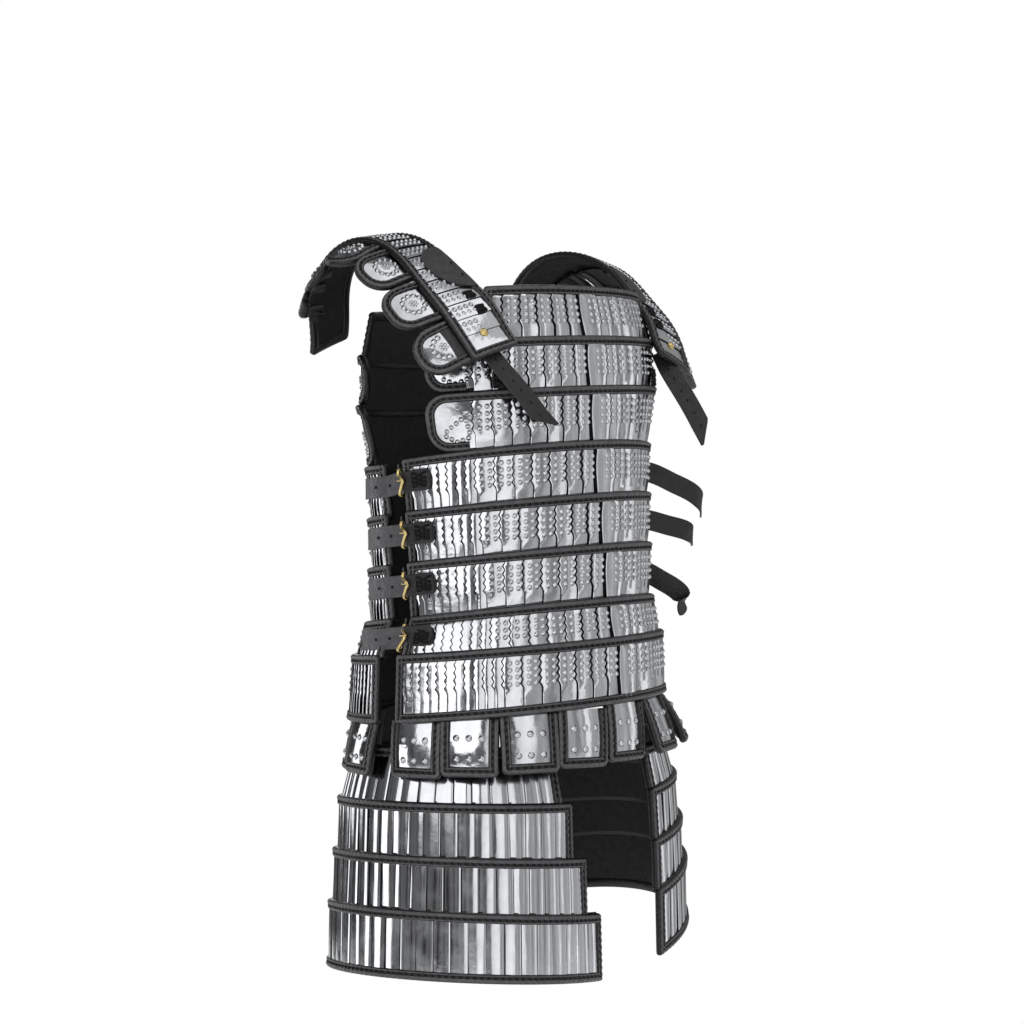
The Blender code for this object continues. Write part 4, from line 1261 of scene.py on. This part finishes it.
view = dict(azimuth=-47.0, distance=3.2, height=-0.318, lens=90, sensor=36, shiftX=5 / 1024)
stage = dict(floorLevel=-1.42, floorRadius=3.6, pale="#f4f4f3", backdrop=1.0,
             whiteFrom=(1.5, 2.6),  # the floor runs out into white between these radii
             # in reflections the floor glows with painted light from here out, a painted shadow
             # within, brighter on one side
             litFrom=(0.9, 1.6), unlit=0.06, paper=0.9,
             glare=1.7, glareSide=-75, glareFrom=(1.9, 2.7),
             # the studio's two ranges of grey, its streaks and where it is the brightest
             dim=(0.03, 0.18), lit=(0.32, 0.70), brightSide=40.0, brightFrom=(-0.2, 0.6),
             streak=5.0, drawnUp=0.12, contrast=(0.40, 0.60),
             lampsAbout=-0.42)  # the height that the softboxes are set about
softboxes = dict(
    # azimuth round the armour from its front (degrees, minus towards its right), distance,
    # height of the middle above the armour's own, width, height, brightness
    key=(-80, 2.8, 0.76, 3.2, 1.76, 1.55),
    near=(-71, 2.0, -0.15, 1.04, 0.34, 1.7),
    front=(-30, 3.3, 0.45, 1.6, 3.3, 0.86),
    edge=(-130, 3.0, -0.62, 1.10, 0.90, 2.1),
    strip=(22, 3.0, 0.3, 0.42, 2.6, 0.9),
    side=(62, 3.0, 0.1, 0.50, 2.6, 0.9),
    top=(-30, 0.9, 2.5, 3.0, 2.6, 0.85),
    back=(138, 3.2, 0.6, 1.1, 2.4, 1.9),
    backRight=(-175, 3.2, 0.6, 1.2, 2.4, 1.8),
)


def towards(degrees):
    # the level direction of an azimuth, 0 being the armour's front
    return math.sin(math.radians(degrees)), -math.cos(math.radians(degrees)), 0


def buildStage():
    # the floor, one disc, is pale by the armour and runs out into the white of the backdrop
    turn = np.arange(96) * np.pi / 48
    rim = np.stack([stage["floorRadius"] * np.cos(turn), stage["floorRadius"] * np.sin(turn),
                    np.full(96, stage["floorLevel"])], axis=1)
    material, tree, shader, where = newFinish("pale studio floor with a painted glow in reflections", {
        "Base Color": linearColour(stage["pale"]), "Roughness": 0.8})
    reach = addNode(tree, "VectorMath", {"operation": "LENGTH"}, links={0: where})
    # how far a place lies out towards the brighter side
    aside = addNode(tree, "VectorMath", {"operation": "DOT_PRODUCT"},
                    {1: towards(stage["glareSide"])}, {0: where})
    white, lit, bright = (
        addNode(tree, "MapRange", {"interpolation_type": "SMOOTHSTEP"},
                dict(zip(rampInputs, values)),
                {"Value": source.outputs["Value"]}).outputs["Result"]
        for source, values in ((reach, (*stage["whiteFrom"], 0.0, 1.0)),
                               (reach, (*stage["litFrom"], stage["unlit"], stage["paper"])),
                               (aside, (*stage["glareFrom"], 1.0, stage["glare"]))))
    # reflected rays see a painted glow: a painted shadow under the armour, the paper's grey further
    # out, painted light brighter towards one side
    path = addNode(tree, "LightPath").outputs
    seen, level = (addNode(tree, "Math", {"operation": "MULTIPLY"},
                           links={0: first, 1: second}).outputs[0]
                   for first, second in ((white, path["Is Camera Ray"]), (lit, bright)))
    glow = addNode(tree, "Emission", values={"Strength": stage["backdrop"]}).outputs[0]
    shade = addNode(tree, "Emission", links={"Strength": level}).outputs[0]
    ground = addNode(tree, "MixShader", links={
        0: path["Is Glossy Ray"], 1: shader.outputs[0], 2: shade}).outputs[0]
    both = addNode(tree, "MixShader", links={0: seen, 1: ground, 2: glow}).outputs[0]
    tree.links.new(both, tree.nodes["Material Output"].inputs["Surface"])
    addPiece("studio_floor", [(rim, [np.arange(96)[None]], 0)], [material])


def buildWorld():
    # white where the backdrop is seen; the steel mirrors a studio of pale and dark uprights
    world = bpy.data.worlds.new("studio")
    bpy.context.scene.world = world
    world.use_nodes = True
    tree = world.node_tree
    tree.nodes.clear()
    where = addNode(tree, "TexCoord").outputs["Generated"]
    upright = addNode(tree, "Mapping", values={"Scale": (1, 1, stage["drawnUp"])},
                      links={"Vector": where})
    streaks = addNode(tree, "TexNoise", values={"Scale": stage["streak"], "Detail": 3.0},
                      links={"Vector": upright.outputs["Vector"]}).outputs["Fac"]
    # the studio is dim on one side and lit on the other: the cosine of the angle from its
    # brightest upright blends the two ranges of grey
    facing = addNode(tree, "VectorMath", {"operation": "DOT_PRODUCT"},
                     {1: towards(stage["brightSide"])}, {0: where}).outputs["Value"]
    side, dim, lit = (
        addNode(tree, "MapRange", values=dict(zip(rampInputs, values)),
                links={"Value": source}).outputs["Result"]
        for source, values in ((facing, (*stage["brightFrom"], 0.0, 1.0)),
                               (streaks, (*stage["contrast"], *stage["dim"])),
                               (streaks, (*stage["contrast"], *stage["lit"]))))
    level = addNode(tree, "Mix", links={"Factor": side, "A": dim, "B": lit})
    white = {"Color": (1, 1, 1, 1)}
    room = addNode(tree, "Background", values=white, links={"Strength": level.outputs["Result"]})
    paper = addNode(tree, "Background", values={**white, "Strength": stage["backdrop"]})
    both = addNode(tree, "MixShader", links={
        0: addNode(tree, "LightPath").outputs["Is Camera Ray"],
        1: room.outputs[0], 2: paper.outputs[0]})
    addNode(tree, "OutputWorld", links={"Surface": both.outputs[0]})


def addToScene(name, data, azimuth, distance, height, tilt):
    # round the armour at an azimuth, turned back to it and tilted up or down
    thing = bpy.data.objects.new(name, data)
    bpy.context.scene.collection.objects.link(thing)
    x, y, _ = towards(azimuth)
    thing.location = (x * distance, y * distance, height)
    thing.rotation_euler = (math.pi / 2 + tilt, 0, math.radians(azimuth))
    return thing


def buildLights():
    for name, (azimuth, distance, height, width, tall, power) in softboxes.items():
        lamp = bpy.data.lights.new(f"softbox_{name}", "AREA")
        lamp.shape = "RECTANGLE"
        lamp.size, lamp.size_y = width, tall
        lamp.energy = power * math.pi * width * tall  # a face this bright, whatever its size
        addToScene(lamp.name, lamp, azimuth, distance, stage["lampsAbout"] + height,
                   -math.atan2(height, distance))


def buildCamera():
    lens = bpy.data.cameras.new("camera")
    lens.lens, lens.sensor_width = view["lens"], view["sensor"]
    lens.shift_x = view["shiftX"]
    lens.dof.use_dof = False
    bpy.context.scene.camera = addToScene("camera", lens, view["azimuth"], view["distance"],
                                          view["height"], 0.0)


buildStage()
buildWorld()
buildLights()
buildCamera()
bpy.context.scene.view_settings.view_transform = "Standard"
report("stage, light and camera set")
